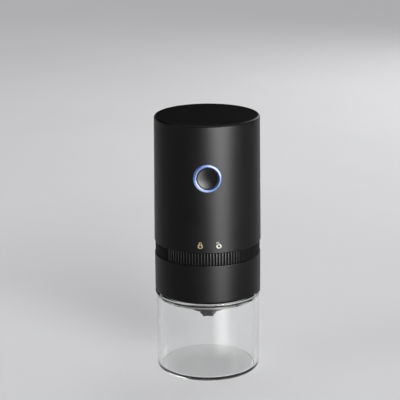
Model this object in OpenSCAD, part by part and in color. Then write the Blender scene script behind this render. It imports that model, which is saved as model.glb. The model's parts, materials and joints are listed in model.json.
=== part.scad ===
// Portable rechargeable burr coffee grinder, front towards -Y, standing on its glass cup

/* [Glass cup] */
// Height of the glass from the table to the collar
cup_h = 53.3; // [48:0.1:70]
// Thickness of the glass wall
cup_wall = 2.8; // [2:0.1:4]
// Thickness of the glass floor
cup_floor = 2; // [1.6:0.1:5]
// How far the glass wall stands in from the collar
cup_inset = 0.9; // [0.4:0.1:1.6]
// Height of the neck that rises inside the collar
neck_h = 10.7; // [8:0.1:12]

/* [Grinder base] */
// Height of the smooth collar
collar_h = 26.5; // [22:0.1:32]
// How far the collar stands in from the widest part of the housing
collar_inset = 0.17; // [0:0.01:0.6]
// Thickness of the silicone seal above the glass neck
seal_t = 1.2; // [0.8:0.1:2]
// Thickness of the web that carries the burrs
web_t = 2; // [1.6:0.1:3]
// Height of the bean hopper above the web
hopper_h = 37.5; // [34:0.1:46]
// Thickness of the hopper wall
hopper_wall = 1.4; // [1.2:0.1:1.7]

/* [Burrs] */
// Gap between the glass neck and the flange of the burr holder
holder_gap = 1.43; // [1:0.01:2]
// Thickness of the ring burr across, at the widest part of the cone burr
ring_burr_t = 3.6; // [3.2:0.1:4.4]
// Height of the ring burr
ring_burr_h = 13.6; // [12.6:0.1:13.8]
// How much slimmer the cone burr is at its top
cone_taper = 8.4; // [7:0.1:9]
// Height of the cone burr
cone_burr_h = 17; // [15.5:0.1:17.2]
// Gap between the two burrs, measured across
burr_gap = 0.9; // [0.7:0.05:1.2]
// Number of cutting grooves on the cone burr
cone_grooves = 18; // [12:1:24]
// How far the dark carrier's lower edge stands in from the cone burr
carrier_inset = 5.7; // [2.4:0.1:6]
// Height of the carrier under the cone burr
carrier_h = 8.4; // [8:0.1:12]
// Radius of the star knob that sets the grind
star_r = 5.4; // [5:0.1:8]
// Height of the star knob
star_h = 5.5; // [4:0.1:7]
// Radius of the spindle
spindle_r = 3; // [2.6:0.1:3.4]

/* [Lock ring] */
// Height of the recessed band
band_h = 8.4; // [6:0.1:11]
// How far the band is set in from the collar
band_recess = 0.45; // [0.3:0.05:0.8]
// Turn from unlocked to locked, degrees
lock_turn = 19.6; // [14:0.1:22]
// Number of grip ribs
rib_count = 26; // [12:1:34]
// Angle between grip ribs, degrees
rib_step = 3.3; // [2.6:0.1:4]
// Width of one grip rib
rib_w = 0.8; // [0.6:0.1:1.2]
// Angle of the middle of the grip patch from the front, degrees
rib_mid = -5.6; // [-20:0.1:20]

/* [Housing] */
// Largest radius of the housing, at its lower edge
housing_r = 35; // [34.8:0.1:38]
// How much slimmer the housing is at its top
housing_draft = 0.75; // [0:0.05:1.2]
// Thickness of the lower skirt of the housing
skirt_wall = 1.8; // [1.5:0.1:2]
// Thickness of the wall above the skirt
housing_wall = 3.1; // [2.6:0.1:3.4]
// Radius of the rounded top edge
rim_round = 1.6; // [0.8:0.1:1.8]
// Height from the partition to the top of the housing
head_h = 61.4; // [60.6:0.1:80]

/* [Button and socket] */
// Distance of the button centre below the top
button_drop = 33.8; // [30:0.1:37]
// Radius of the button cap
button_r = 6.5; // [5:0.1:7.5]
// Width of the light ring around the button
light_w = 2.35; // [1.6:0.05:3]
// Travel of the button
button_travel = 0.8; // [0.4:0.1:1]
// Width of the charging socket shell
socket_w = 8.94; // [8:0.01:10]
// Height of the charging socket shell
socket_t = 3.26; // [2.6:0.01:4]

/* [Drive] */
// Gear module
gear_m = 0.5; // [0.45:0.01:0.54]
// Height of the planet gears
planet_h = 5.5; // [4:0.1:6]
// Outer radius of the motor can
motor_r = 12.2; // [11.6:0.1:13]
// Length of the motor can
motor_len = 31; // [26:0.1:31.5]
// Radius of one battery cell
cell_r = 7.05; // [6:0.05:7.2]
// Length of one battery cell
cell_len = 50; // [44:0.1:52]

/* [Hidden] */
$fn = 96;

// Finishes
BLACK = [0.055, 0.057, 0.06];
DARK = [0.1, 0.1, 0.105];
GLASS = [0.85, 0.92, 0.95, 0.35];
CERAMIC = [0.92, 0.91, 0.87];
STEEL = [0.66, 0.67, 0.69];
BRASS = [0.78, 0.62, 0.32];
SILICONE = [0.82, 0.82, 0.8];
NYLON = [0.86, 0.85, 0.8];
BOARD = [0.06, 0.3, 0.16];
BLUE = [0.15, 0.42, 1];

// Clearances
slip = 0.1;
run = 0.05;
part_gap = 0.3;
eps = 0.01;

// Levels of the outer stack
z_collar = cup_h;
z_band = z_collar + collar_h;
z_house = z_band + band_h;

// Radii of the outer stack
collar_r = housing_r - collar_inset;
cup_r = collar_r - cup_inset;
cup_in_r = cup_r - cup_wall;
cup_foot_round = 2.4;
cup_floor_round = 1.2;
bead_h = 1.1;
bead_r = collar_r + 0.12;
band_r = collar_r - band_recess;
rib_proud = 0.2;
rib_margin = 0.15;
rib_recess = 0.9;

// Bayonet between the lock ring and the housing
skirt_r = housing_r - skirt_wall;
bayonet_t = 1.4;
bayonet_r = skirt_r - bayonet_t;
lug_overlap = 0.8;
sleeve_t = 1.2;
lug_r = bayonet_r - 0.4;
lug_in_r = lug_r - lug_overlap;
sleeve_r = lug_in_r - 0.4;
sleeve_in_r = sleeve_r - sleeve_t;
lug_count = 4;
lug_width = lock_turn + 4.4;
lug_free = 1.5;
lug_h = 2;
sleeve_h = 9.8;
lug_slack = 0.4;

// Hopper, web and seal
hopper_r = sleeve_in_r - part_gap;
hopper_in_r = hopper_r - hopper_wall;
neck_r = collar_r - 3.2;
neck_in_r = neck_r - cup_wall + 0.1;
z_neck = z_collar + neck_h;
z_web = z_neck + seal_t;
z_web_top = z_web + web_t;
z_hopper_top = z_web_top + hopper_h;
collar_wall = 2;
bracket_seat_w = 1.4;
bracket_drop = 20.7;
z_bracket = z_hopper_top - bracket_drop;
groove_d = 0.6;
clip_t = 1;
z_clip = z_house + sleeve_h + 0.2;

// Burr holder and burrs
holder_lip = 1.4;
holder_wall = 3;
flange_t = 2.2;
flange_w = 3.5;
flange_r = neck_in_r - holder_gap;
holder_r = flange_r - flange_w;
ring_burr_r = holder_r - holder_wall;
throat_step = 4;
throat_r = ring_burr_r - throat_step;
z_burr = z_web_top - 0.4 - ring_burr_h;
z_holder = z_burr - holder_lip;
cone_drop = 4.2;
cone_land = 2;
cone_burr_r = ring_burr_r - ring_burr_t;
cone_top_r = cone_burr_r - cone_taper;
z_cone = z_burr - cone_drop;
cone_slope = (cone_burr_r - cone_top_r) / (cone_burr_h - cone_land);
function cone_r(z) = cone_burr_r - cone_slope * max(0, z - z_cone - cone_land);
lip_r = cone_burr_r + 1.2;
hub_r = spindle_r + 2;
groove_w = 1.5;

// Grind setting
carrier_r = cone_burr_r - carrier_inset;
carrier_flare = 1.8;
thread_r = spindle_r * 2 / 3;
z_carrier = z_cone - carrier_h;
z_star = z_carrier - star_h;
hex_slack = 0.2;
z_hex = z_carrier + 4.8;
z_hex_top = z_cone + cone_burr_h + 1;
star_lobes = 5;

// Spindle bearing
bracket_hub_r = spindle_r + 4;
bush_r = spindle_r + 2;
hub_h = 12;
z_hub = z_bracket - 8;
washer_t = 0.8;
washer_w = 2.6;
clip_w = 2.2;
clip_groove = 0.6;
z_bush_top = z_hub + hub_h;
spindle_end = 0.8;
socket_hex_r = spindle_r - 0.1;
z_socket = z_bush_top + 4;
socket_depth = 10;

// Upper unit levels
ledge_t = 2;
frame_t = 3;
z_ledge = z_hopper_top + 0.3;
z_frame = z_ledge + ledge_t;
z_floor = z_frame + frame_t;
z_top = z_floor + head_h;
housing_h = z_top - z_house;
top_r = housing_r - housing_draft;
body_in_r = top_r - housing_wall + 0.75;
ledge_in_r = hopper_r - 0.6;
frame_r = body_in_r - part_gap;
cover_t = 2;
cover_sink = 0.2;
cover_ledge = 0.7;
cover_r = body_in_r + cover_ledge;
z_cover = z_top - cover_sink - cover_t;
function shell_r(z) = housing_r - housing_draft * (z - z_house) / housing_h;

// Gear train, two equal planetary stages
sun_teeth = 15;
planet_teeth = 15;
ring_teeth = 45;
pressure = 20;
tooth_add = 0.8 * gear_m;
tooth_ded = 1.05 * gear_m;
tooth_slack = 0.08;
planet_orbit = gear_m * (sun_teeth + planet_teeth) / 2;
planet_pin_r = 1;
carrier_disc_r = planet_orbit + planet_pin_r + 1.2;
carrier_t = 2;
case_floor = 2;
case_wall = 1.8;
case_r = gear_m * ring_teeth / 2 + tooth_ded + case_wall;
gear_gap = 0.3;
z_case_floor = z_floor + case_floor;
z_out_plate = z_case_floor + gear_gap;
z_low = z_out_plate + carrier_t + gear_gap;
z_mid_plate = z_low + planet_h + gear_gap;
z_high = z_mid_plate + carrier_t + gear_gap;
z_case_top = z_high + planet_h + gear_gap;
lid_t = 2;
z_motor = z_case_top + lid_t;
z_motor_top = z_motor + motor_len;
ear_r = 2.6;
ear_t = 3;
ear_orbit = case_r + 2.2;
ear_angles = [90, 210, 330];

// Output shaft
out_shaft_r = 4;
out_bush_r = 6;
socket_boss_r = 5.5;

// Motor
can_t = 1;
cap_t = 3;
shaft_r = 1;
magnet_t = 1.6;
air_gap = 1.1;
core_r = motor_r - can_t - magnet_t - air_gap;
core_low_room = 6;
core_top_room = 8;
magnet_room = 3;
magnet_len = motor_len - can_t - cap_t - 2 * magnet_room;
shaft_stub = 0.6;
bush_out_r = 3;

// Electrics
cell_gap = 0.4;
cell_orbit = body_in_r - cell_r - cell_gap;
cell_angles = [30, 150];
cell_cup_t = 1.2;
cell_cup_h = 6;
z_button = z_top - button_drop;
button_gap = 0.25;
light_r = button_r + button_gap + light_w;
light_lip = 2;
button_face = shell_r(z_button) + 0.2;
boss_r = light_r + light_lip + 1;
boss_face = sqrt(pow(body_in_r, 2) - pow(boss_r, 2)) - 0.2;
light_flange = 1.4;
button_flange_t = 1.2;
button_flange_w = 1.2;
stem_r = 2;
button_back = boss_face - light_flange - 0.2 - button_flange_t;
board_t = 1.6;
board_drop = 6;
board_face = button_back - board_drop;
board_w = 30;
board_h = 44;
z_board = z_floor + 2;
switch_w = 6;
switch_h = 3.4;
plunger_h = 0.7;
stem_end = board_face + switch_h + plunger_h + button_travel + 0.2;
usb_board_t = 1;
z_usb_board = z_floor + 5.4;
usb_depth = 7.4;
usb_wall = 0.32;
z_usb = z_usb_board + usb_board_t + socket_t / 2;
usb_face = shell_r(z_usb) - 0.5;
usb_board_w = socket_w + 5;
usb_board_end = sqrt(pow(body_in_r, 2) - pow(usb_board_w / 2, 2)) - part_gap;
usb_board_len = usb_depth + 1;
usb_board_back = usb_board_end - usb_board_len;

// Screws
screw_r = 1;
screw_head_r = 1.5;
screw_head_t = 1.1;
screw_bite = 2.4;
base_screw_orbit = holder_r + flange_w / 2;
base_screw_count = 3;
frame_screw_angles = [60, 180, 300];
frame_screw_orbit = (ledge_in_r + body_in_r) / 2;

// Points of a round corner, from one angle to another
function arc(cx, cy, r, a0, a1, n = 6) =
    [for (i = [0 : n]) [cx + r * cos(a0 + (a1 - a0) * i / n), cy + r * sin(a0 + (a1 - a0) * i / n)]];

// Outline of a spur gear with involute flanks
function inv_angle(a) = tan(a) * 180 / PI - a;
function flank(r, rp, half) =
    half + inv_angle(pressure) - inv_angle(acos(min(1, rp * cos(pressure) / r)));
function gear_outline(teeth, add, ded, slack, steps = 4) =
    let (rp = teeth * gear_m / 2, half = 90 / teeth - slack / 2 / rp * 180 / PI)
    [
        for (k = [0 : teeth - 1])
        for (side = [-1, 1])
        for (i = [0 : steps])
        let (
            share = side < 0 ? i / steps : 1 - i / steps,
            r = rp - ded + (add + ded) * share,
            a = 360 / teeth * k + side * flank(max(r, rp * cos(pressure)), rp, half)
        )
        [r * cos(a), r * sin(a)]
    ];

// Flat ring standing on z = 0
module tube(r_out, r_in, h) {
    rotate_extrude()
        translate([r_in, 0])
            square([r_out - r_in, h]);
}

// Part of a ring, from angle a over the given sweep
module ring_piece(r_out, r_in, h, a, sweep) {
    rotate([0, 0, a])
        rotate_extrude(angle = sweep)
            translate([r_in, 0])
                square([r_out - r_in, h]);
}

// Places its child at even angles round the axis
module around(count, radius, start = 0) {
    for (i = [0 : count - 1])
        rotate([0, 0, start + 360 / count * i])
            translate([radius, 0, 0])
                children();
}

// Screw with its head up and its seat at z = 0
module screw(length) {
    union() {
        translate([0, 0, -length])
            cylinder(r = screw_r, h = length + eps, $fn = 24);
        difference() {
            cylinder(r = screw_head_r, h = screw_head_t, $fn = 32);
            translate([0, 0, screw_head_t / 2])
                cylinder(r = screw_head_r / 2, h = screw_head_t, $fn = 6);
        }
    }
}

module glass_cup() {
    inner = cup_floor_round;
    color(GLASS)
    rotate_extrude()
        polygon(concat(
            [[0, 0]],
            arc(cup_r - cup_foot_round, cup_foot_round, cup_foot_round, -90, 0),
            [[cup_r, z_collar - bead_h - (bead_r - cup_r)], [bead_r, z_collar - bead_h]],
            arc(bead_r - 0.4, z_collar - 0.4, 0.4, 0, 90, 3),
            [[neck_r, z_collar]],
            arc(neck_r - 0.5, z_neck - 0.5, 0.5, 0, 90, 3),
            arc(neck_in_r + 0.5, z_neck - 0.5, 0.5, 90, 180, 3),
            [[neck_in_r, z_collar - 1], [cup_in_r, z_collar - bead_h - 3]],
            arc(cup_in_r - inner, cup_floor + inner, inner, 0, -90),
            [[0, cup_floor]]
        ));
}

module collar() {
    round_low = 2.4;
    round_top = 0.4;
    bore = neck_r + part_gap;
    color(BLACK)
    difference() {
        rotate_extrude()
            polygon(concat(
                [[bore, z_collar]],
                arc(collar_r - round_low, z_collar + round_low, round_low, -90, 0),
                arc(collar_r - round_top, z_band - round_top, round_top, 0, 90, 3),
                [
                    [collar_r - collar_wall, z_band], [collar_r - collar_wall, z_web_top],
                    [ring_burr_r + slip, z_web_top], [ring_burr_r + slip, z_web], [bore, z_web]
                ]
            ));
        translate([0, 0, z_web - eps])
            around(base_screw_count, base_screw_orbit, 90)
                cylinder(r = screw_r + slip, h = web_t + 2 * eps, $fn = 24);
    }
}

module cup_seal() {
    color(SILICONE)
    translate([0, 0, z_neck])
        tube(neck_r, neck_in_r, seal_t);
}

module hopper() {
    foot_t = 2;
    foot_r = collar_r - collar_wall - part_gap;
    color(DARK)
    difference() {
        rotate_extrude()
            polygon([
                [throat_r, z_web_top], [foot_r, z_web_top], [foot_r, z_web_top + foot_t],
                [hopper_r, z_web_top + foot_t], [hopper_r, z_clip], [hopper_r - groove_d, z_clip],
                [hopper_r - groove_d, z_clip + clip_t], [hopper_r, z_clip + clip_t],
                [hopper_r, z_hopper_top], [hopper_in_r, z_hopper_top], [hopper_in_r, z_bracket],
                [hopper_in_r - bracket_seat_w, z_bracket], [throat_r, z_web_top + 2]
            ]);
        translate([0, 0, z_web_top - eps])
            around(base_screw_count, base_screw_orbit, 90)
                cylinder(r = screw_r, h = screw_bite + 0.6, $fn = 24);
    }
}

module burr_holder() {
    color(DARK)
    difference() {
        rotate_extrude()
            polygon([
                [lip_r, z_holder], [holder_r - 1, z_holder], [holder_r, z_holder + 1],
                [holder_r, z_web - flange_t], [flange_r, z_web - flange_t], [flange_r, z_web],
                [ring_burr_r + slip, z_web], [ring_burr_r + slip, z_burr], [lip_r, z_burr]
            ]);
        translate([0, 0, z_web - flange_t - eps])
            around(base_screw_count, base_screw_orbit, 90)
                cylinder(r = screw_r + slip, h = flange_t + 2 * eps, $fn = 24);
    }
}

module ring_burr() {
    bite_h = 4;
    notch_count = 24;
    notch_w = 1.4;
    notch_d = 1.1;
    low_r = cone_r(z_burr) + burr_gap;
    bite_r = cone_r(z_burr + bite_h) + burr_gap;
    color(CERAMIC)
    difference() {
        rotate_extrude()
            polygon([
                [low_r, z_burr], [ring_burr_r, z_burr], [ring_burr_r, z_burr + ring_burr_h],
                [throat_r - 0.5, z_burr + ring_burr_h], [bite_r, z_burr + bite_h]
            ]);
        translate([0, 0, z_burr + bite_h])
            around(notch_count, bite_r)
                translate([-notch_d, -notch_w / 2, 0])
                    cube([2 * notch_d, notch_w, ring_burr_h]);
    }
}

module spindle_bracket() {
    rim_w = 1.3;
    rim_h = 3;
    arm_w = 3.4;
    arm_h = 3;
    rim_r = hopper_in_r - slip;
    color(DARK)
    difference() {
        union() {
            translate([0, 0, z_bracket])
                tube(rim_r, rim_r - rim_w, rim_h);
            translate([0, 0, z_hub])
                cylinder(r = bracket_hub_r, h = hub_h);
            for (a = [30, 150, 270])
                rotate([0, 0, a])
                    translate([0, -arm_w / 2, z_bracket])
                        cube([rim_r - rim_w / 2, arm_w, arm_h]);
        }
        translate([0, 0, z_hub - eps])
            cylinder(r = bush_r, h = hub_h + 2 * eps);
    }
}

module spindle_bush() {
    color(BRASS)
    translate([0, 0, z_hub])
        tube(bush_r, spindle_r + run, hub_h);
}

module base_screws() {
    color(STEEL)
    around(base_screw_count, base_screw_orbit, 90)
        translate([0, 0, z_web - flange_t])
            mirror([0, 0, 1])
                screw(flange_t + web_t + screw_bite);
}

module retaining_ring() {
    gap = 24;
    color(STEEL)
    translate([0, 0, z_clip + slip / 2])
        ring_piece(sleeve_r - 0.2, hopper_r - groove_d, clip_t - slip, 90 + gap / 2, 360 - gap);
}

module lock_ring() {
    patch = rib_step * rib_count;
    floor_r = band_r - rib_recess;
    color(BLACK)
    union() {
        difference() {
            rotate_extrude()
                polygon([
                    [sleeve_in_r, z_band], [band_r - 0.2, z_band], [band_r, z_band + 0.2],
                    [band_r, z_house - 0.2], [band_r - 0.2, z_house], [sleeve_r, z_house],
                    [sleeve_r, z_house + sleeve_h], [sleeve_in_r, z_house + sleeve_h]
                ]);
            translate([0, 0, z_band - eps])
                ring_piece(collar_r, floor_r, band_h + 2 * eps, rib_mid - 90 - patch / 2, patch);
        }
        translate([0, 0, z_house + sleeve_h - lug_h])
            for (i = [0 : lug_count - 1])
                ring_piece(lug_r, sleeve_r - 0.3, lug_h, 360 / lug_count * i, lug_width);
        for (i = [0 : rib_count - 1])
            rotate([0, 0, rib_mid - 90 + rib_step * (i - (rib_count - 1) / 2)])
                translate([floor_r - 0.3, -rib_w / 2, z_band + rib_margin])
                    cube([rib_proud + rib_recess + 0.3, rib_w, band_h - 2 * rib_margin]);
    }
}

module spindle() {
    shaft_low = z_star - spindle_end;
    color(STEEL)
    difference() {
        union() {
            translate([0, 0, shaft_low])
                cylinder(r = thread_r, h = z_hex - shaft_low + eps, $fn = 48);
            translate([0, 0, z_hex])
                cylinder(r = spindle_r, h = z_hex_top - z_hex + eps, $fn = 6);
            translate([0, 0, z_hex_top])
                cylinder(r = spindle_r, h = z_socket - z_hex_top);
            translate([0, 0, z_socket - eps])
                cylinder(r = socket_hex_r, h = socket_depth, $fn = 6);
        }
        translate([0, 0, z_bush_top + part_gap])
            tube(spindle_r + 1, spindle_r - clip_groove, washer_t);
    }
}

module thrust_washer() {
    color(STEEL)
    translate([0, 0, z_hub - washer_t])
        tube(spindle_r + washer_w, spindle_r + run, washer_t);
}

module spindle_clip() {
    gap = 70;
    color(STEEL)
    translate([0, 0, z_bush_top + part_gap])
        ring_piece(spindle_r + clip_w, spindle_r - clip_groove, washer_t, 90 + gap / 2, 360 - gap);
}

// Compression spring, one unbroken tube wound round the spindle
spring_turns = 5;
spring_wire = 0.45;
spring_mean = spindle_r + 1.4;
spring_low = z_cone + cone_burr_h + spring_wire;
spring_high = z_hub - washer_t - spring_wire;
spring_rings = 8 * spring_turns;
spring_sides = 6;
function spring_mid(i) =
    let (a = 360 * i / 8)
    [spring_mean * cos(a), spring_mean * sin(a), spring_low + (spring_high - spring_low) * i / spring_rings];
function spring_point(i, j) =
    let (a = 360 * i / 8, b = 360 * j / spring_sides, r = spring_mean + spring_wire * cos(b))
    [r * cos(a), r * sin(a), spring_mid(i)[2] + spring_wire * sin(b)];
spring_gap = min([
    for (i = [0 : spring_rings - 8])
    for (j = [0 : spring_sides - 1])
    for (k = [0 : spring_sides - 1])
        norm(spring_point(i, j) - spring_point(i + 8, k))
]);
echo(spring_gap = spring_gap);

module burr_spring() {
    points = [
        for (i = [0 : spring_rings])
        for (j = [0 : spring_sides - 1])
            spring_point(i, j)
    ];
    last = spring_rings * spring_sides;
    walls = [
        for (i = [0 : spring_rings - 1])
        for (j = [0 : spring_sides - 1])
        let (a = i * spring_sides + j, b = i * spring_sides + (j + 1) % spring_sides)
        for (face = [[a, a + spring_sides, b], [b, a + spring_sides, b + spring_sides]])
            face
    ];
    ends = [
        for (j = [1 : spring_sides - 2])
        for (face = [[0, j, j + 1], [last, last + j + 1, last + j]])
            face
    ];
    color(STEEL)
    polyhedron(points, concat(walls, ends));
}

module cone_burr() {
    color(CERAMIC)
    difference() {
        translate([0, 0, z_cone])
            rotate_extrude()
                polygon([
                    [hub_r + slip, 0], [cone_burr_r, 0], [cone_burr_r, cone_land],
                    [cone_top_r, cone_burr_h], [hub_r + slip, cone_burr_h]
                ]);
        for (i = [0 : cone_grooves - 1])
            rotate([0, 0, 360 / cone_grooves * i])
                translate([cone_burr_r, 0, z_cone + cone_land])
                    rotate([0, -atan(cone_slope), 0])
                        rotate([0, 0, 45])
                            translate([-groove_w / 2, -groove_w / 2, -cone_land])
                                cube([groove_w, groove_w, cone_burr_h * 2]);
    }
}

module burr_carrier() {
    thread_room = 1.2;
    color(DARK)
    difference() {
        union() {
            translate([0, 0, z_carrier])
                cylinder(r1 = carrier_r, r2 = carrier_r + carrier_flare, h = carrier_h);
            translate([0, 0, z_cone - eps])
                cylinder(r = hub_r, h = cone_burr_h + eps);
        }
        translate([0, 0, z_carrier - eps])
            cylinder(r = thread_r + 0.3, h = carrier_h, $fn = 48);
        translate([0, 0, z_hex - thread_room])
            cylinder(r = spindle_r + hex_slack / 2, h = carrier_h + cone_burr_h, $fn = 6);
    }
}

module star_knob() {
    insert_r = thread_r + 1.2;
    lobe = (star_r - insert_r) * 0.35;
    steps = 16 * star_lobes;
    color(DARK)
    translate([0, 0, z_star])
        difference() {
            linear_extrude(star_h)
                polygon([
                    for (i = [0 : steps - 1])
                        let (a = 360 / steps * i, r = star_r - lobe * (1 - cos(star_lobes * (a - 90))))
                            [r * cos(a), r * sin(a)]
                ]);
            translate([0, 0, -eps])
                cylinder(r = insert_r, h = star_h + 2 * eps);
        }
}

module knob_insert() {
    color(BRASS)
    translate([0, 0, z_star])
        tube(thread_r + 1.2, thread_r + run, star_h);
}

// Cylinder along the button's axis, from one depth to another, measured out from the middle
module front_bar(r, deep, face) {
    translate([0, -deep, z_button])
        rotate([90, 0, 0])
            cylinder(r = r, h = face - deep);
}

// Slot shape of the charging socket, extruded towards the rear
module socket_bar(w, t, from, to) {
    translate([0, to, z_usb])
        rotate([90, 0, 0])
            linear_extrude(to - from)
                union() {
                    square([w - t, t], center = true);
                    for (s = [-1, 1])
                        translate([s * (w - t) / 2, 0])
                            circle(r = t / 2, $fn = 32);
                }
}

module main_housing() {
    bevel = 0.4;
    color(BLACK)
    difference() {
        union() {
            rotate_extrude()
                polygon(concat(
                    [[skirt_r, z_house], [housing_r - bevel, z_house], [housing_r, z_house + bevel]],
                    arc(top_r - rim_round, z_top - rim_round, rim_round, 0, 90),
                    [
                        [cover_r + slip, z_top], [cover_r + slip, z_cover], [body_in_r, z_cover],
                        [body_in_r, z_frame], [ledge_in_r, z_frame], [ledge_in_r, z_ledge],
                        [skirt_r, z_ledge]
                    ]
                ));
            intersection() {
                front_bar(boss_r, boss_face, housing_r);
                translate([0, 0, z_button - 2 * boss_r])
                    cylinder(r = body_in_r + 1, h = 4 * boss_r);
            }
        }
        front_bar(light_r + slip, 0, housing_r + 5);
        socket_bar(socket_w + 0.6, socket_t + 0.6, body_in_r - 3, housing_r + 5);
        translate([0, 0, z_frame - ledge_t - eps])
            for (a = frame_screw_angles)
                rotate([0, 0, a])
                    translate([frame_screw_orbit, 0, 0])
                        cylinder(r = screw_r, h = ledge_t + 2 * eps, $fn = 24);
    }
}

module top_cover() {
    plug_r = body_in_r - slip;
    plug_h = 2.6;
    plug_t = 1.6;
    edge = 0.3;
    color(BLACK)
    rotate_extrude()
        polygon([
            [0, z_cover], [plug_r - plug_t, z_cover], [plug_r - plug_t, z_cover - plug_h],
            [plug_r, z_cover - plug_h], [plug_r, z_cover], [cover_r, z_cover],
            [cover_r, z_cover + cover_t - edge], [cover_r - edge, z_cover + cover_t],
            [0, z_cover + cover_t]
        ]);
}

module light_ring() {
    bore = button_r + button_gap;
    edge = 0.5;
    depth = button_face - boss_face;
    color(BLUE)
    translate([0, -boss_face, z_button])
        rotate([90, 0, 0])
            rotate_extrude()
                polygon([
                    [bore, -light_flange], [light_r + light_lip, -light_flange], [light_r + light_lip, 0],
                    [light_r, 0], [light_r, depth - edge], [light_r - edge, depth],
                    [bore + edge / 2, depth], [bore, depth - edge / 2]
                ]);
}

module bayonet_ring() {
    low = 2.8;
    lug_z = z_house + sleeve_h - lug_h - lug_slack - lug_h - 0.6;
    color(DARK)
    union() {
        translate([0, 0, z_house + low])
            tube(skirt_r - run, bayonet_r, z_ledge - z_house - low);
        translate([0, 0, lug_z])
            for (i = [0 : lug_count - 1])
                ring_piece(bayonet_r + 0.3, lug_in_r, lug_h + 0.6,
                    360 / lug_count * i - lug_free - lug_width, lug_width);
    }
}

module inner_frame() {
    post_w = 6;
    post_d = 5;
    post_h = 7;
    post_y = -board_face - (post_d - board_t) / 2;
    color(DARK)
    difference() {
        union() {
            translate([0, 0, z_frame])
                cylinder(r = frame_r, h = frame_t);
            intersection() {
                translate([0, 0, z_floor - eps])
                    for (a = cell_angles)
                        rotate([0, 0, a])
                            translate([cell_orbit, 0, 0])
                                tube(cell_r + slip + cell_cup_t, cell_r + slip, cell_cup_h);
                cylinder(r = frame_r - 0.2, h = z_top);
            }
            for (s = [-1, 1])
                translate([s * (board_w / 2 - post_w) - post_w / 2, post_y, z_floor - eps])
                    cube([post_w, post_d, post_h]);
            translate([-usb_board_w / 2, usb_board_back, z_floor - eps])
                cube([usb_board_w, usb_board_len - part_gap, z_usb_board - z_floor + eps]);
        }
        translate([-board_w / 2 - slip, -board_face - slip, z_board])
            cube([board_w + 2 * slip, board_t + 2 * slip, board_h]);
        translate([0, 0, z_frame - eps])
            cylinder(r = out_bush_r, h = frame_t + 2 * eps);
        for (a = frame_screw_angles)
            rotate([0, 0, a])
                translate([frame_screw_orbit, 0, z_frame - eps])
                    cylinder(r = screw_r + slip, h = frame_t + 2 * eps, $fn = 24);
        for (a = ear_angles)
            rotate([0, 0, a])
                translate([ear_orbit, 0, z_frame + 0.6])
                    cylinder(r = screw_r, h = frame_t, $fn = 24);
    }
}

module frame_screws() {
    color(STEEL)
    for (a = frame_screw_angles)
        rotate([0, 0, a])
            translate([frame_screw_orbit, 0, z_floor])
                screw(frame_t + ledge_t - 0.4);
}

module gearbox_case() {
    color(NYLON)
    difference() {
        union() {
            translate([0, 0, z_floor])
                cylinder(r = case_r, h = z_case_top - z_floor);
            for (a = ear_angles)
                rotate([0, 0, a])
                    translate([0, 0, z_floor]) {
                        translate([ear_orbit, 0, 0])
                            cylinder(r = ear_r, h = ear_t, $fn = 48);
                        translate([case_r - 2, -ear_r, 0])
                            cube([ear_orbit - case_r + 2, 2 * ear_r, ear_t]);
                    }
        }
        translate([0, 0, z_case_floor])
            linear_extrude(z_case_top - z_case_floor + eps)
                polygon(gear_outline(ring_teeth, tooth_ded, tooth_add, -tooth_slack));
        translate([0, 0, z_floor - eps])
            cylinder(r = out_bush_r, h = case_floor + 2 * eps);
        for (a = ear_angles)
            rotate([0, 0, a])
                translate([ear_orbit, 0, z_floor - eps])
                    cylinder(r = screw_r + slip, h = ear_t + 2 * eps, $fn = 24);
    }
}

module gearbox_cover() {
    color(NYLON)
    translate([0, 0, z_case_top])
        tube(case_r, bush_out_r + slip, lid_t);
}

module gearbox_screws() {
    color(STEEL)
    for (a = ear_angles)
        rotate([0, 0, a])
            translate([ear_orbit, 0, z_floor + ear_t])
                screw(ear_t + frame_t - 0.8);
}

module motor_can() {
    color(STEEL)
    translate([0, 0, z_motor])
        rotate_extrude()
            polygon([
                [bush_out_r, 0], [motor_r - 0.8, 0], [motor_r, 0.8], [motor_r, motor_len],
                [motor_r - can_t, motor_len], [motor_r - can_t, can_t], [bush_out_r, can_t]
            ]);
}

module motor_end_cap() {
    color(DARK)
    difference() {
        union() {
            translate([0, 0, z_motor_top - cap_t])
                tube(motor_r - can_t - run, bush_out_r, cap_t);
            translate([0, 0, z_motor_top])
                tube(motor_r, bush_out_r, 1);
        }
        for (s = [-1, 1])
            translate([s * (motor_r - 4) - 1.5, -0.4, z_motor_top - cap_t - eps])
                cube([3, 0.8, cap_t + 2]);
    }
}

module motor_magnets() {
    sweep = 130;
    color([0.25, 0.25, 0.27])
    translate([0, 0, z_motor + can_t + magnet_room])
        for (a = [25, 205])
            ring_piece(motor_r - can_t, motor_r - can_t - magnet_t, magnet_len, a, sweep);
}

module motor_bushes() {
    bush_h = 3;
    color(BRASS)
    for (z = [z_motor - lid_t + 0.4, z_motor_top - 2])
        translate([0, 0, z])
            tube(bush_out_r, shaft_r + run, bush_h);
}

module motor_terminals() {
    color(BRASS)
    for (s = [-1, 1])
        translate([s * (motor_r - 4) - 1.5, -0.4, z_motor_top - cap_t])
            cube([3, 0.8, cap_t + 2.4]);
}

module battery_cells() {
    nub_r = 2.6;
    nub_h = 0.8;
    color([0.2, 0.35, 0.55])
    for (a = cell_angles)
        rotate([0, 0, a])
            translate([cell_orbit, 0, z_floor]) {
                cylinder(r = cell_r, h = cell_len - nub_h);
                cylinder(r = nub_r, h = cell_len);
            }
}

module control_board() {
    color(BOARD)
    translate([-board_w / 2, -board_face, z_board])
        cube([board_w, board_t, board_h]);
}

module tact_switch() {
    color([0.2, 0.2, 0.22])
    union() {
        translate([-switch_w / 2, -board_face - switch_h, z_button - switch_w / 2])
            cube([switch_w, switch_h, switch_w]);
        front_bar(1.7, board_face, board_face + switch_h + plunger_h);
    }
}

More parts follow.
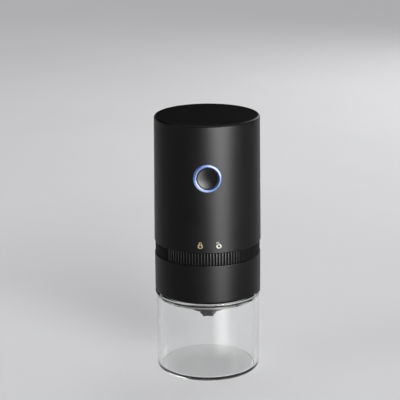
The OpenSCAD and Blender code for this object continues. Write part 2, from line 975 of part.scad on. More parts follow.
module board_leds() {
    led_w = 2.2;
    led_t = 1.1;
    led_orbit = light_r + 1.2;
    color([0.95, 0.95, 0.85])
    for (a = [45 : 90 : 315])
        translate([led_orbit * cos(a), -board_face - led_t / 2, z_button + led_orbit * sin(a)])
            cube([led_w, led_t, led_w], center = true);
}

module button_pad() {
    color(SILICONE)
    difference() {
        front_bar(button_r + 0.9, board_face, button_back);
        front_bar(button_r - 0.6, board_face - 1, button_back + 1);
    }
}

module usb_board() {
    color(BOARD)
    translate([-usb_board_w / 2, usb_board_back, z_usb_board])
        cube([usb_board_w, usb_board_len, usb_board_t]);
}

module usb_socket() {
    tongue_w = 6.6;
    tongue_t = 0.7;
    back = usb_face - usb_depth;
    color(STEEL)
    union() {
        difference() {
            socket_bar(socket_w, socket_t, back, usb_face);
            socket_bar(socket_w - 2 * usb_wall, socket_t - 2 * usb_wall, back + 1, usb_face + 1);
        }
        translate([-tongue_w / 2, back + 0.5, z_usb - tongue_t / 2])
            cube([tongue_w, usb_depth - 1.5, tongue_t]);
    }
}

module output_bush() {
    color(BRASS)
    translate([0, 0, z_frame])
        tube(out_bush_r, out_shaft_r + run, frame_t + case_floor);
}

module start_button() {
    dish_r = 30;
    dish = 0.7;
    face = button_face - 0.2;
    color([0.16, 0.17, 0.19])
    difference() {
        union() {
            front_bar(button_r, button_back, face);
            front_bar(button_r + button_flange_w, button_back, button_back + button_flange_t);
            front_bar(stem_r, stem_end, button_back + eps);
        }
        translate([0, -face - dish_r + dish, z_button])
            sphere(r = dish_r, $fn = 96);
    }
}

module output_carrier() {
    boss_low = z_socket + 0.6;
    boss_high = z_frame - 0.4;
    hex_r = socket_hex_r + hex_slack / 2;
    color(STEEL)
    difference() {
        union() {
            translate([0, 0, z_out_plate])
                cylinder(r = carrier_disc_r, h = carrier_t);
            translate([0, 0, boss_high - eps])
                cylinder(r = out_shaft_r, h = z_out_plate - boss_high + 2 * eps);
            translate([0, 0, boss_low])
                cylinder(r = socket_boss_r, h = boss_high - boss_low);
        }
        translate([0, 0, boss_low - eps])
            cylinder(r = hex_r, h = socket_depth, $fn = 6);
        translate([0, 0, z_out_plate - eps])
            around(3, planet_orbit)
                cylinder(r = planet_pin_r, h = carrier_t + 2 * eps, $fn = 32);
    }
}

module output_pins() {
    color(STEEL)
    translate([0, 0, z_out_plate])
        around(3, planet_orbit)
            cylinder(r = planet_pin_r, h = carrier_t + gear_gap + planet_h, $fn = 32);
}

// Planet gear of one stage, turned into mesh with the sun and the ring
module planet(orbit_angle, z) {
    spin = orbit_angle + 180 - 180 / planet_teeth + orbit_angle * sun_teeth / planet_teeth;
    color(NYLON)
    rotate([0, 0, orbit_angle])
        translate([planet_orbit, 0, z])
            rotate([0, 0, spin - orbit_angle])
                difference() {
                    linear_extrude(planet_h)
                        polygon(gear_outline(planet_teeth, tooth_add, tooth_ded, tooth_slack));
                    translate([0, 0, -eps])
                        cylinder(r = planet_pin_r + run, h = planet_h + 2 * eps, $fn = 32);
                }
}

module low_planet_a() { planet(0, z_low); }
module low_planet_b() { planet(120, z_low); }
module low_planet_c() { planet(240, z_low); }
module high_planet_a() { planet(0, z_high); }
module high_planet_b() { planet(120, z_high); }
module high_planet_c() { planet(240, z_high); }

module mid_carrier() {
    color(NYLON)
    difference() {
        union() {
            translate([0, 0, z_mid_plate])
                cylinder(r = carrier_disc_r, h = carrier_t);
            translate([0, 0, z_low])
                linear_extrude(z_mid_plate - z_low + eps)
                    polygon(gear_outline(sun_teeth, tooth_add, tooth_ded, tooth_slack));
        }
        translate([0, 0, z_mid_plate - eps])
            around(3, planet_orbit)
                cylinder(r = planet_pin_r, h = carrier_t + 2 * eps, $fn = 32);
    }
}

module mid_pins() {
    color(STEEL)
    translate([0, 0, z_mid_plate])
        around(3, planet_orbit)
            cylinder(r = planet_pin_r, h = carrier_t + gear_gap + planet_h, $fn = 32);
}

module rotor_core() {
    slots = 5;
    slot_w = 1.6;
    slot_d = 4;
    core_low = z_motor + core_low_room;
    core_h = motor_len - core_low_room - core_top_room;
    color([0.45, 0.3, 0.2])
    translate([0, 0, core_low])
        difference() {
            cylinder(r = core_r, h = core_h);
            translate([0, 0, -eps])
                cylinder(r = shaft_r, h = core_h + 2 * eps, $fn = 32);
            for (i = [0 : slots - 1])
                rotate([0, 0, 360 / slots * i])
                    translate([core_r - slot_d, -slot_w / 2, -eps])
                        cube([slot_d + 1, slot_w, core_h + 2 * eps]);
        }
}

module rotor_shaft() {
    color(STEEL)
    translate([0, 0, z_high])
        cylinder(r = shaft_r, h = z_motor_top - z_high + shaft_stub, $fn = 32);
}

module rotor_pinion() {
    color(BRASS)
    translate([0, 0, z_high])
        difference() {
            linear_extrude(planet_h)
                polygon(gear_outline(sun_teeth, tooth_add, tooth_ded, tooth_slack));
            translate([0, 0, -eps])
                cylinder(r = shaft_r, h = planet_h + 2 * eps, $fn = 32);
        }
}

glass_cup();
collar();
cup_seal();
hopper();
burr_holder();
ring_burr();
spindle_bracket();
spindle_bush();
base_screws();
retaining_ring();
lock_ring();
spindle();
thrust_washer();
spindle_clip();
burr_spring();
cone_burr();
burr_carrier();
star_knob();
knob_insert();
main_housing();
top_cover();
light_ring();
bayonet_ring();
inner_frame();
frame_screws();
gearbox_case();
gearbox_cover();
gearbox_screws();
motor_can();
motor_end_cap();
motor_magnets();
motor_bushes();
motor_terminals();
battery_cells();
control_board();
tact_switch();
board_leds();
button_pad();
usb_board();
usb_socket();
output_bush();
start_button();
output_carrier();
output_pins();
low_planet_a();
low_planet_b();
low_planet_c();
mid_carrier();
mid_pins();
high_planet_a();
high_planet_b();
high_planet_c();
rotor_core();
rotor_shaft();
rotor_pinion();
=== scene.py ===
"""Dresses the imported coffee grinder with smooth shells, finishes, a studio and a camera."""

import json
import logging
import math
from dataclasses import dataclass
from enum import Enum
from functools import lru_cache, reduce
from typing import Callable, ClassVar, Iterable, Iterator, Sequence

import bmesh
import bpy
from mathutils import Matrix, Vector

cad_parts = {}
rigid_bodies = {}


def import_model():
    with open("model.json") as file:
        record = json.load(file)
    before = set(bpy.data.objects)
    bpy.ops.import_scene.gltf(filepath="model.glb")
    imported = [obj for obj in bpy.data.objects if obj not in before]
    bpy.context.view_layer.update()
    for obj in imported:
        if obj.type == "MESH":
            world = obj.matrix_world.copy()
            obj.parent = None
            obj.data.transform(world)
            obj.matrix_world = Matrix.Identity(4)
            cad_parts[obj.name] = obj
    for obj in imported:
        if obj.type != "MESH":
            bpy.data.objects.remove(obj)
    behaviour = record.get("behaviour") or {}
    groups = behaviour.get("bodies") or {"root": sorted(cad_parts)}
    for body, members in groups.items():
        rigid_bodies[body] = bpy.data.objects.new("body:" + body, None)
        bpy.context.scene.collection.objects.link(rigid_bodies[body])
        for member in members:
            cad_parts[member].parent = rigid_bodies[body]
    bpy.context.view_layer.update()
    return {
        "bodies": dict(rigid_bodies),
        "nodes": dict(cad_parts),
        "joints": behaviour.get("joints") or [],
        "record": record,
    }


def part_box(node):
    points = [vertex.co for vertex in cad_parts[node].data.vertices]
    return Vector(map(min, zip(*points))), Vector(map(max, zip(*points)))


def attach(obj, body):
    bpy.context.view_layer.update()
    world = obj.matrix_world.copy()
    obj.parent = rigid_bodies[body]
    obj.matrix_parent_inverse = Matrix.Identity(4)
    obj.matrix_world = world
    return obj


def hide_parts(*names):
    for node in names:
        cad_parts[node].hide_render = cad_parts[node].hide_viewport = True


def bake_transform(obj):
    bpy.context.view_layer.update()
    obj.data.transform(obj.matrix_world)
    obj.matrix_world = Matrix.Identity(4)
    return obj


LOG = logging.getLogger("coffee_grinder")
MM = 0.001
FULL_TURN = 2 * math.pi
ROUND_STEPS = 256
SHARP_ANGLE = math.radians(32)
SAME_POINT = 1e-7
ON_AXIS = 1e-9

Point = tuple[float, float]
Place = tuple[float, float, float]
Colour = tuple[float, float, float]
Span = tuple[float, float]
Socket = bpy.types.NodeSocket
Node = bpy.types.Node
Material = bpy.types.Material
Piece = bpy.types.Object


class Texture(Enum):
    """How the fine marks of a finish run."""

    GRAIN = "even grain of a mould"
    TURNED = "rings left by a lathe about Z"
    SPUN = "rings on the button, about Y"
    DRAWN = "streaks along Z"


class Axis(Enum):
    """The axis that a turned piece goes round."""

    Z = "upright"
    Y = "out of the front"


# Node trees


class Nodes:
    """A node tree, with short ways to add nodes and to feed their inputs."""

    def __init__(self, tree: bpy.types.NodeTree) -> None:
        """Keeps the tree."""
        self.tree = tree

    def feed(self, target: Socket, value: object) -> None:
        """Feeds one input.

        Args:
            target: the input.
            value: a socket to link to it, or a constant.
        """
        if isinstance(value, Socket):
            self.tree.links.new(value, target)
        else:
            target.default_value = value

    def put(self, node: Node, **values: object) -> Node:
        """Feeds a node's inputs by name.

        Args:
            node: the node.
            values: what each input gets, with underscores for spaces in the names.
        Returns:
            The same node.
        """
        for key, value in values.items():
            self.feed(node.inputs[key.replace("_", " ")], value)
        return node

    def add(self, kind: str, **values: object) -> Node:
        """Adds a node of a kind and feeds its inputs by name."""
        return self.put(self.tree.nodes.new(kind), **values)

    def math(self, operation: str, *values: object) -> Socket:
        """Adds a Math node.

        Args:
            operation: what it does.
            values: its inputs, sockets or numbers.
        Returns:
            The result.
        """
        node = self.add("ShaderNodeMath")
        node.operation = operation
        for target, value in zip(node.inputs, values):
            self.feed(target, value)
        return node.outputs[0]

    def product(self, *values: object) -> Socket:
        """Returns the product of sockets and numbers."""
        return reduce(lambda first, second: self.math("MULTIPLY", first, second), values)

    def gather(self, x: object, y: object, z: object) -> Socket:
        """Returns a vector made of three sockets or numbers."""
        return self.add("ShaderNodeCombineXYZ", X=x, Y=y, Z=z).outputs[0]


class Sheet(Nodes):
    """A material's nodes round a Principled shader."""

    MIX_FIRST, MIX_SECOND, MIX_RESULT = 6, 7, 2

    def __init__(self, name: str) -> None:
        """Starts the material.

        Args:
            name: the material's name.
        """
        self.material = bpy.data.materials.new(name)
        self.material.use_nodes = True
        super().__init__(self.material.node_tree)
        self.tree.nodes.clear()
        self.shader = self.add("ShaderNodeBsdfPrincipled")
        self.output = self.add("ShaderNodeOutputMaterial", Surface=self.shader.outputs["BSDF"])

    def set(self, **values: object) -> None:
        """Feeds the shader's inputs by name."""
        self.put(self.shader, **values)

    def place(self) -> Socket:
        """Returns the surface's place in the object's frame."""
        return self.add("ShaderNodeTexCoord").outputs["Object"]

    def split(self) -> list[Socket]:
        """Returns the X, Y and Z of the surface's place."""
        return list(self.add("ShaderNodeSeparateXYZ", Vector=self.place()).outputs)

    def length(self, x: Socket, y: Socket) -> Socket:
        """Returns the length of a flat vector."""
        return self.math("SQRT", self.math("ADD", self.product(x, x), self.product(y, y)))

    def hump(self, value: Socket, middle: float, half: object) -> Socket:
        """Returns a rounded hump, 1 at its middle and 0 at half its width from there."""
        off = self.math("DIVIDE", self.math("SUBTRACT", value, middle), half)
        return self.math("SUBTRACT", 1.0, self.product(off, off))

    def noise(self, scale: float, detail: float = 3.0, where: Socket | None = None) -> Socket:
        """Returns noise with so many marks per metre, in octaves, read at the surface or elsewhere."""
        node = self.add("ShaderNodeTexNoise", Scale=scale, Detail=detail, Vector=where or self.place())
        return node.outputs["Fac"]

    def spread(self, value: Socket, low: float, high: float, start: float = 0.3, end: float = 0.7) -> Socket:
        """Returns a value mapped from the range of start to end onto that of low to high."""
        ranges = dict(From_Min=start, From_Max=end, To_Min=low, To_Max=high)
        return self.add("ShaderNodeMapRange", Value=value, **ranges).outputs["Result"]

    def mix(self, share: Socket, first: Colour, second: Colour) -> Socket:
        """Mixes two colours.

        Args:
            share: 0 gives the first colour and 1 the second.
            first: a colour.
            second: a colour.
        Returns:
            The mixed colour.
        """
        node = self.add("ShaderNodeMix", Factor=share)
        node.data_type = "RGBA"
        node.inputs[self.MIX_FIRST].default_value = (*first, 1.0)
        node.inputs[self.MIX_SECOND].default_value = (*second, 1.0)
        return node.outputs[self.MIX_RESULT]

    def ramp(self, share: Socket, stops: Sequence[tuple[float, Colour]]) -> Socket:
        """Adds a Color Ramp.

        Args:
            share: where the ramp is read, from 0 to 1.
            stops: place and colour of each stop.
        Returns:
            The colour.
        """
        node = self.add("ShaderNodeValToRGB", Fac=share)
        elements = node.color_ramp.elements
        for place, _ in stops[1:-1]:
            elements.new(place)
        for element, (place, colour) in zip(elements, stops):
            element.position = place
            element.color = (*colour, 1.0)
        return node.outputs[0]

    def bump(self, height: Socket, depth: float, strength: float) -> None:
        """Raises the surface's normal by a height from 0 to 1, for a depth in metres."""
        node = self.add("ShaderNodeBump", Distance=depth, Strength=strength, Height=height)
        self.set(Normal=node.outputs["Normal"])


# Finishes


@dataclass(frozen=True)
class Finish:
    """An opaque finish with fine marks in its colour, gloss and relief."""

    STREAK: ClassVar[float] = 0.02
    ARC: ClassVar[float] = 0.0006
    FINE_SHARE: ClassVar[float] = 0.55
    BROAD_SHARE: ClassVar[float] = 0.45
    CLOUD_DETAIL: ClassVar[float] = 4.0

    name: str
    colour: Colour
    tint: Colour
    gloss: Span
    metallic: float = 0.0
    texture: Texture = Texture.GRAIN
    marks: float = 2600.0
    relief: float = 0.00002
    strength: float = 0.35
    clouds: float = 60.0
    specular: float = 0.5

    def where(self, sheet: Sheet) -> Socket:
        """Finds the place that the marks are read at, drawn out the way they run.

        Args:
            sheet: the material's nodes.
        Returns:
            The place.
        """
        if self.texture is Texture.GRAIN:
            return sheet.place()
        x, y, z = sheet.split()
        if self.texture is Texture.DRAWN:
            return sheet.gather(x, y, sheet.product(z, self.STREAK))
        if self.texture is Texture.SPUN:
            y, z = sheet.math("SUBTRACT", z, Button.MIDDLE_Z), y
        arc = sheet.product(sheet.math("ARCTAN2", y, x), self.ARC)
        return sheet.gather(sheet.length(x, y), arc, z)

    def sheet(self) -> Sheet:
        """Builds the finish.

        Returns:
            The sheet that holds it.
        """
        sheet = Sheet(self.name)
        fine = sheet.noise(self.marks, where=self.where(sheet))
        broad = sheet.noise(self.clouds, self.CLOUD_DETAIL)
        both = sheet.math("ADD", sheet.product(fine, self.FINE_SHARE), sheet.product(broad, self.BROAD_SHARE))
        sheet.bump(fine, self.relief, self.strength)
        sheet.set(Base_Color=sheet.mix(sheet.spread(broad, 0.0, 1.0), self.colour, self.tint),
                  Roughness=sheet.spread(both, *self.gloss), Metallic=self.metallic,
                  Specular_IOR_Level=self.specular)
        return sheet


@dataclass(frozen=True)
class ClearGlass:
    """Pressed clear glass with a trace of handling on it."""

    name: str = "clear_pressed_glass"
    colour: Colour = (0.985, 0.995, 0.99)
    ior: float = 1.47
    ripple: Span = (38.0, 1.0)
    ripple_depth: float = 0.00003
    ripple_strength: float = 0.15
    haze: Span = (120.0, 4.0)
    haze_range: Span = (0.5, 0.8)
    gloss: Span = (0.0, 0.012)

    def sheet(self) -> Sheet:
        """Builds the glass.

        Returns:
            The sheet that holds it.
        """
        sheet = Sheet(self.name)
        sheet.bump(sheet.noise(*self.ripple), self.ripple_depth, self.ripple_strength)
        haze = sheet.spread(sheet.noise(*self.haze), *self.gloss, *self.haze_range)
        sheet.set(Base_Color=(*self.colour, 1.0), Roughness=haze, Transmission_Weight=1.0, IOR=self.ior)
        return sheet


@dataclass(frozen=True)
class LitRing:
    """Frosted diffuser lit blue from behind along a narrow line, with a painted highlight at two places that
    stands in for reflections on its crowned face.
    """

    name: str = "lit_blue_diffuser"
    resin: Colour = (0.006, 0.014, 0.045)
    resin_tint: Colour = (0.012, 0.028, 0.08)
    gloss: Span = (0.22, 0.34)
    speckle: Span = (900.0, 2.0)
    speckle_level: float = 0.08
    # The near-white last stop is reached only at the painted highlight.
    stops: tuple[tuple[float, Colour], ...] = (
        (0.0, (0.004, 0.012, 0.045)), (0.3, (0.02, 0.06, 0.2)),
        (0.58, (0.10, 0.21, 0.52)), (1.0, (0.60, 0.63, 0.88)),
    )
    line_at: float = 0.35
    line_half: float = 0.85
    # The lobes are a painted highlight: the glow is raised at two places round the ring to stand in for
    # reflections.
    lobes: int = 2
    painted_highlight_at: float = math.radians(62)
    painted_highlight_level: Span = (0.48, 1.0)
    painted_highlight_range: Span = (-0.8, 0.8)
    glow: float = 0.86

    def sheet(self) -> Sheet:
        """Builds the diffuser.

        Returns:
            The sheet that holds it.
        """
        sheet = Sheet(self.name)
        x, _, z = sheet.split()
        z = sheet.math("SUBTRACT", z, Button.MIDDLE_Z)
        # Painted highlight: the glow swells at two places round the ring.
        angle = sheet.math("SUBTRACT", sheet.math("ARCTAN2", z, x), self.painted_highlight_at)
        painted_highlight_wave = sheet.math("COSINE", sheet.product(angle, float(self.lobes)))
        off = sheet.math("SUBTRACT", sheet.length(x, z), Button.LIGHT_MIDDLE)
        line = sheet.hump(sheet.math("DIVIDE", off, Button.LIGHT_HALF), self.line_at, self.line_half)
        lit = sheet.product(line, sheet.spread(painted_highlight_wave, *self.painted_highlight_level, *self.painted_highlight_range))
        speckle = sheet.noise(*self.speckle)
        lit = sheet.math("ADD", lit, sheet.spread(speckle, -self.speckle_level, self.speckle_level))
        sheet.set(Emission_Color=sheet.ramp(lit, self.stops), Emission_Strength=self.glow,
                  Base_Color=sheet.mix(speckle, self.resin, self.resin_tint),
                  Roughness=sheet.spread(speckle, *self.gloss))
        return sheet


@dataclass(frozen=True)
class CircuitBoard:
    """Green solder mask over copper tracks that run square."""

    name: str = "green_circuit_board"
    mask: Colour = (0.012, 0.11, 0.045)
    track: Colour = (0.03, 0.2, 0.08)
    tracks: float = 260.0
    track_w: float = 0.06
    track_depth: float = 0.00003
    track_strength: float = 0.4
    grain: float = 500.0
    gloss: Span = (0.25, 0.4)

    def sheet(self) -> Sheet:
        """Builds the board's finish.

        Returns:
            The sheet that holds it.
        """
        sheet = Sheet(self.name)
        x, y, z = sheet.split()
        mask = (*self.mask, 1.0)
        brick = sheet.add("ShaderNodeTexBrick", Vector=sheet.gather(x, sheet.math("ADD", y, z), 0.0),
                          Scale=self.tracks, Mortar_Size=self.track_w, Color1=mask, Color2=mask,
                          Mortar=(*self.track, 1.0)).outputs
        sheet.bump(brick["Fac"], self.track_depth, self.track_strength)
        sheet.set(Base_Color=brick["Color"], Roughness=sheet.spread(sheet.noise(self.grain), *self.gloss))
        return sheet


class Finishes:
    """Every finish of the grinder, each material built once."""

    OPAQUE: tuple[Finish, ...] = (
        Finish("satin_black_body", (0.0018, 0.0018, 0.0019), (0.0028, 0.0028, 0.0029), (0.35, 0.42),
               relief=0.000012, strength=0.25, marks=5200.0, specular=0.12),
        Finish("black_top_disc", (0.0012, 0.0012, 0.0013), (0.0022, 0.0022, 0.0023), (0.48, 0.58),
               specular=0.02),
        # The band's black is darker and duller than the ribs' so the recess between them reads as shade:
        # painted shade.
        Finish("dull_black_band", (0.0012, 0.0012, 0.0013), (0.002, 0.002, 0.0021), (0.5, 0.6),
               specular=0.045),
        Finish("ribbed_black_grip", (0.0028, 0.0028, 0.0029), (0.0045, 0.0045, 0.0047), (0.30, 0.38),
               specular=0.21),
        Finish("dark_moulding", (0.006, 0.006, 0.0065), (0.010, 0.010, 0.0105), (0.38, 0.55), specular=0.3),
        Finish("white_ceramic", (0.72, 0.70, 0.65), (0.80, 0.78, 0.73), (0.32, 0.5), marks=1800.0),
        Finish("bright_steel", (0.52, 0.52, 0.53), (0.66, 0.66, 0.67), (0.16, 0.3), 1.0,
               Texture.TURNED, 6000.0),
        Finish("turned_brass", (0.60, 0.40, 0.14), (0.72, 0.50, 0.20), (0.2, 0.34), 1.0,
               Texture.TURNED, 6000.0),
        Finish("grey_silicone", (0.30, 0.31, 0.32), (0.38, 0.39, 0.40), (0.5, 0.66)),
        Finish("natural_nylon", (0.66, 0.62, 0.52), (0.75, 0.71, 0.61), (0.36, 0.5)),
        Finish("gunmetal_button", (0.012, 0.012, 0.0125), (0.02, 0.02, 0.02), (0.2, 0.3), 1.0,
               Texture.SPUN, 7000.0, 0.00001),
        Finish("switch_plastic", (0.02, 0.02, 0.021), (0.035, 0.035, 0.036), (0.34, 0.5)),
        Finish("led_resin", (0.80, 0.78, 0.66), (0.88, 0.86, 0.76), (0.12, 0.24)),
        Finish("cell_sleeve", (0.03, 0.10, 0.30), (0.045, 0.14, 0.38), (0.22, 0.34), marks=900.0),
        Finish("dark_ferrite", (0.035, 0.035, 0.038), (0.06, 0.06, 0.064), (0.45, 0.65)),
        Finish("copper_winding", (0.52, 0.20, 0.07), (0.64, 0.27, 0.10), (0.24, 0.4), 1.0,
               Texture.DRAWN, 3000.0, 0.00008, 0.6),
        Finish("gold_print", (0.43, 0.33, 0.155), (0.51, 0.40, 0.20), (0.34, 0.48), 0.1),
        Finish("pale_gold_print", (0.34, 0.325, 0.27), (0.40, 0.385, 0.32), (0.36, 0.5), 0.1),
    )

    def __init__(self) -> None:
        """Builds every material."""
        kinds = (*self.OPAQUE, ClearGlass(), LitRing(), CircuitBoard())
        self.by_name: dict[str, Material] = {kind.name: kind.sheet().material for kind in kinds}

    def __getitem__(self, name: str) -> Material:
        """Returns a material by its finish's name."""
        return self.by_name[name]


# Shapes


@lru_cache(maxsize=None)
def node_box(name: str) -> tuple[Vector, Vector]:
    """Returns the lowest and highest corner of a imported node, measured once."""
    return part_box(name)


def polar(radius: float, angle: float) -> Point:
    """Returns the point at a distance and an angle from the middle."""
    return (radius * math.cos(angle), radius * math.sin(angle))


def fillet(middle: Point, radius: float, start: float, end: float, steps: int = 10) -> list[Point]:
    """Returns the points of an arc in a profile, from one angle in degrees to another."""
    angles = (math.radians(start + (end - start) * i / steps) for i in range(steps + 1))
    return [(middle[0] + radius * math.cos(a), middle[1] + radius * math.sin(a)) for a in angles]


def held(profile: Sequence[Point], inset: float = 0.12 * MM, least: float = 10.0) -> list[Point]:
    """Adds points near the ends of long stretches, so that smooth shading stays flat between them.

    Args:
        profile: closed loop of points.
        inset: distance of the new points from the ends.
        least: how many insets long a stretch is at least to get them.
    Returns:
        The loop with the added points.
    """
    points: list[Point] = []
    for i, here in enumerate(profile):
        there = profile[(i + 1) % len(profile)]
        length = math.dist(here, there)
        points.append(here)
        if length > least * inset and max(here[0], there[0]) > inset:
            for share in (inset / length, 1 - inset / length):
                points.append(tuple(a + (b - a) * share for a, b in zip(here, there)))
    return points


def grid(rows: int, columns: int, round_rows: bool = False, round_columns: bool = False,
         first: int = 0) -> Iterator[tuple[int, ...]]:
    """Numbers the corners of the faces between rows of points.

    Args:
        rows: how many rows there are.
        columns: points in each row.
        round_rows: whether the last row joins the first.
        round_columns: whether the last point of a row joins its first.
        first: number of the first point.
    Returns:
        The four corners of one face after another.
    """
    for i in range(rows if round_rows else rows - 1):
        here, there = first + i * columns, first + (i + 1) % rows * columns
        for j in range(columns if round_columns else columns - 1):
            k = (j + 1) % columns
            yield here + j, there + j, there + k, here + k


def linked(name: str, data: bpy.types.ID) -> Piece:
    """Puts a new object into the scene.

    Args:
        name: its name.
        data: its mesh, light or camera.
    Returns:
        The object.
    """
    piece = bpy.data.objects.new(name, data)
    bpy.context.scene.collection.objects.link(piece)
    return piece


def smooth(mesh: bpy.types.Mesh) -> None:
    """Shades a mesh smooth, apart from its sharp corners."""
    mesh.polygons.foreach_set("use_smooth", [True] * len(mesh.polygons))
    mesh.set_sharp_from_angle(angle=SHARP_ANGLE)


def mesh_object(name: str, points: Iterable[Place], faces: Iterable[Sequence[int]]) -> Piece:
    """Makes a closed, smooth mesh with its normals outwards.

    Args:
        name: the piece's name.
        points: its corners in metres.
        faces: corner numbers of each face.
    Returns:
        The new object.
    """
    mesh = bpy.data.meshes.new(name)
    mesh.from_pydata([tuple(p) for p in points], [], [tuple(f) for f in faces])
    work = bmesh.new()
    work.from_mesh(mesh)
    bmesh.ops.remove_doubles(work, verts=work.verts, dist=SAME_POINT)
    bmesh.ops.recalc_face_normals(work, faces=work.faces)
    work.to_mesh(mesh)
    work.free()
    smooth(mesh)
    return linked(name, mesh)


def turned(name: str, profile: Sequence[Point], axis: Axis = Axis.Z, height: float = 0.0,
           steps: int = ROUND_STEPS) -> Piece:
    """Turns a closed profile into a solid.

    Args:
        name: the piece's name.
        profile: closed loop of (distance from the axis, place along it) in metres.
        axis: Z, or Y for a piece of the button, whose places run out of the front.
        height: height of a Y axis.
        steps: pieces of the full turn.
    Returns:
        The new object.
    """
    profile = held(profile)
    points: list[Place] = []
    for i in range(steps):
        c, s = polar(1.0, FULL_TURN * i / steps)
        for out, along in profile:
            x, side = out * c, out * s
            points.append((x, side, along) if axis is Axis.Z else (x, -along, height + side))
    count = len(profile)
    faces = []
    for near, *far, last in grid(steps, count, True, True):
        face = [near, *(n for n in far if profile[n % count][0] >= ON_AXIS), last]
        if len(face) > 2:
            faces.append(face)
    return mesh_object(name, points, faces)


def rod(name: str, radius: float, low: float, high: float, axis: Axis = Axis.Z, height: float = 0.0,
        steps: int = ROUND_STEPS) -> Piece:
    """Makes a plain rod between two places along an axis, as turned() does."""
    return turned(name, [(0.0, low), (radius, low), (radius, high), (0.0, high)], axis, height, steps)


def prism(name: str, outline: Sequence[Point], low: float, high: float,
          place: Callable[[float, float, float], Place] = lambda x, y, z: (x, y, z)) -> Piece:
    """Extrudes a flat outline.

    Args:
        name: the piece's name.
        outline: closed loop of points in metres.
        low: start of the extrusion.
        high: end of it.
        place: turns outline and height into a point.
    Returns:
        The new object.
    """
    count = len(outline)
    points = [place(x, y, z) for z in (low, high) for x, y in outline]
    faces = [tuple(range(count)), tuple(range(count, 2 * count))]
    faces += [(i, (i + 1) % count, count + (i + 1) % count, count + i) for i in range(count)]
    return mesh_object(name, points, faces)


def baked(piece: Piece) -> Piece:
    """Turns a piece's modifiers into plain, smooth mesh.

    Args:
        piece: the object to bake.
    Returns:
        The same object without modifiers.
    """
    bpy.context.view_layer.update()
    graph = bpy.context.evaluated_depsgraph_get()
    mesh = bpy.data.meshes.new_from_object(piece.evaluated_get(graph))
    piece.modifiers.clear()
    piece.data = mesh
    smooth(mesh)
    return piece


def cut(piece: Piece, *tools: Piece, operation: str = "DIFFERENCE") -> Piece:
    """Cuts tools out of a piece, or joins them to it, and removes the tools.

    Args:
        piece: the object to change.
        tools: the objects to cut with.
        operation: DIFFERENCE, UNION or INTERSECT.
    Returns:
        The changed piece.
    """
    for tool in tools:
        step = piece.modifiers.new("cut", "BOOLEAN")
        step.operation = operation
        step.solver = "EXACT"
        step.object = tool
    baked(piece)
    for tool in tools:
        bpy.data.objects.remove(tool)
    return piece


def softened(piece: Piece, width: float, segments: int = 3) -> Piece:
    """Rounds a piece's sharp edges.

    Args:
        piece: the object to change.
        width: the round's size in metres.
        segments: steps of the round.
    Returns:
        The changed piece.
    """
    step = piece.modifiers.new("round", "BEVEL")
    step.width = width
    step.segments = segments
    step.limit_method = "ANGLE"
    step.angle_limit = SHARP_ANGLE
    return baked(piece)


def handed_in(piece: Piece, finish: Material, body: str, slot: str, *nodes: str) -> Piece:
    """Gives a finished piece its material and body, and hides the nodes that it stands for.

    Args:
        piece: the finished object.
        finish: its material.
        body: the body that it moves with, or nothing for a piece left on no body.
        slot: not used.
        nodes: the nodes that it replaces.
    Returns:
        The same piece.
    """
    piece.data.materials.clear()
    piece.data.materials.append(finish)
    if body:
        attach(piece, body)
    if nodes:
        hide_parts(*nodes)
    LOG.info("%s: %d faces on %s", piece.name, len(piece.data.polygons), body or "two bodies")
    return piece


# Sub-assemblies


@dataclass
class GlassCup:
    """Clear cup that the grinder stands on, with a bead under the collar and a neck inside it."""

    wall: float = 2.8 * MM
    floor: float = 2.0 * MM
    foot_round: float = 2.4 * MM
    floor_round: float = 1.2 * MM
    bead_h: float = 1.1 * MM
    bead_proud: float = 1.02 * MM
    bead_ease: Point = (0.3, 0.2 * MM)
    bead_start: float = -50.0
    neck_h: float = 10.7 * MM
    neck_in: float = 3.32 * MM
    neck_thinner: float = 0.1 * MM
    neck_root: Point = (1.0 * MM, 3.0 * MM)
    lip: float = 0.5 * MM
    lip_steps: int = 5

    def build(self) -> Piece:
        """Turns the cup.

        Returns:
            The glass, one closed solid.
        """
        bead_r, _, top = node_box("glass_cup")[1]
        shoulder = top - self.neck_h
        out = bead_r - self.bead_proud
        inner = out - self.wall
        neck = bead_r - self.neck_in
        neck_inner = neck - self.wall + self.neck_thinner
        low_bead = shoulder - self.bead_h
        bead_round = self.bead_h / 2
        ease_out, ease_down = self.bead_ease
        root_top, root_low = self.neck_root
        return turned("cup_glass", [
            (0.0, 0.0),
            *fillet((out - self.foot_round, self.foot_round), self.foot_round, -90, 0),
            (out, low_bead - self.bead_proud), (out + ease_out * self.bead_proud, low_bead - ease_down),
            *fillet((bead_r - bead_round, low_bead + bead_round), bead_round, self.bead_start, 90),
            (neck, shoulder),
            *fillet((neck - self.lip, top - self.lip), self.lip, 0, 90, self.lip_steps),
            *fillet((neck_inner + self.lip, top - self.lip), self.lip, 90, 180, self.lip_steps),
            (neck_inner, shoulder - root_top), (inner, low_bead - root_low),
            *fillet((inner - self.floor_round, self.floor + self.floor_round), self.floor_round, 0, -90),
            (0.0, self.floor),
        ])

    def dress(self, finishes: Finishes) -> None:
        """Builds the cup and hands it in, and lets lamp light through to the floor under it.

        Args:
            finishes: the materials.
        """
        glass = handed_in(self.build(), finishes["clear_pressed_glass"], "powder_cup", "clear_glass",
                          "glass_cup")
        glass.visible_shadow = False


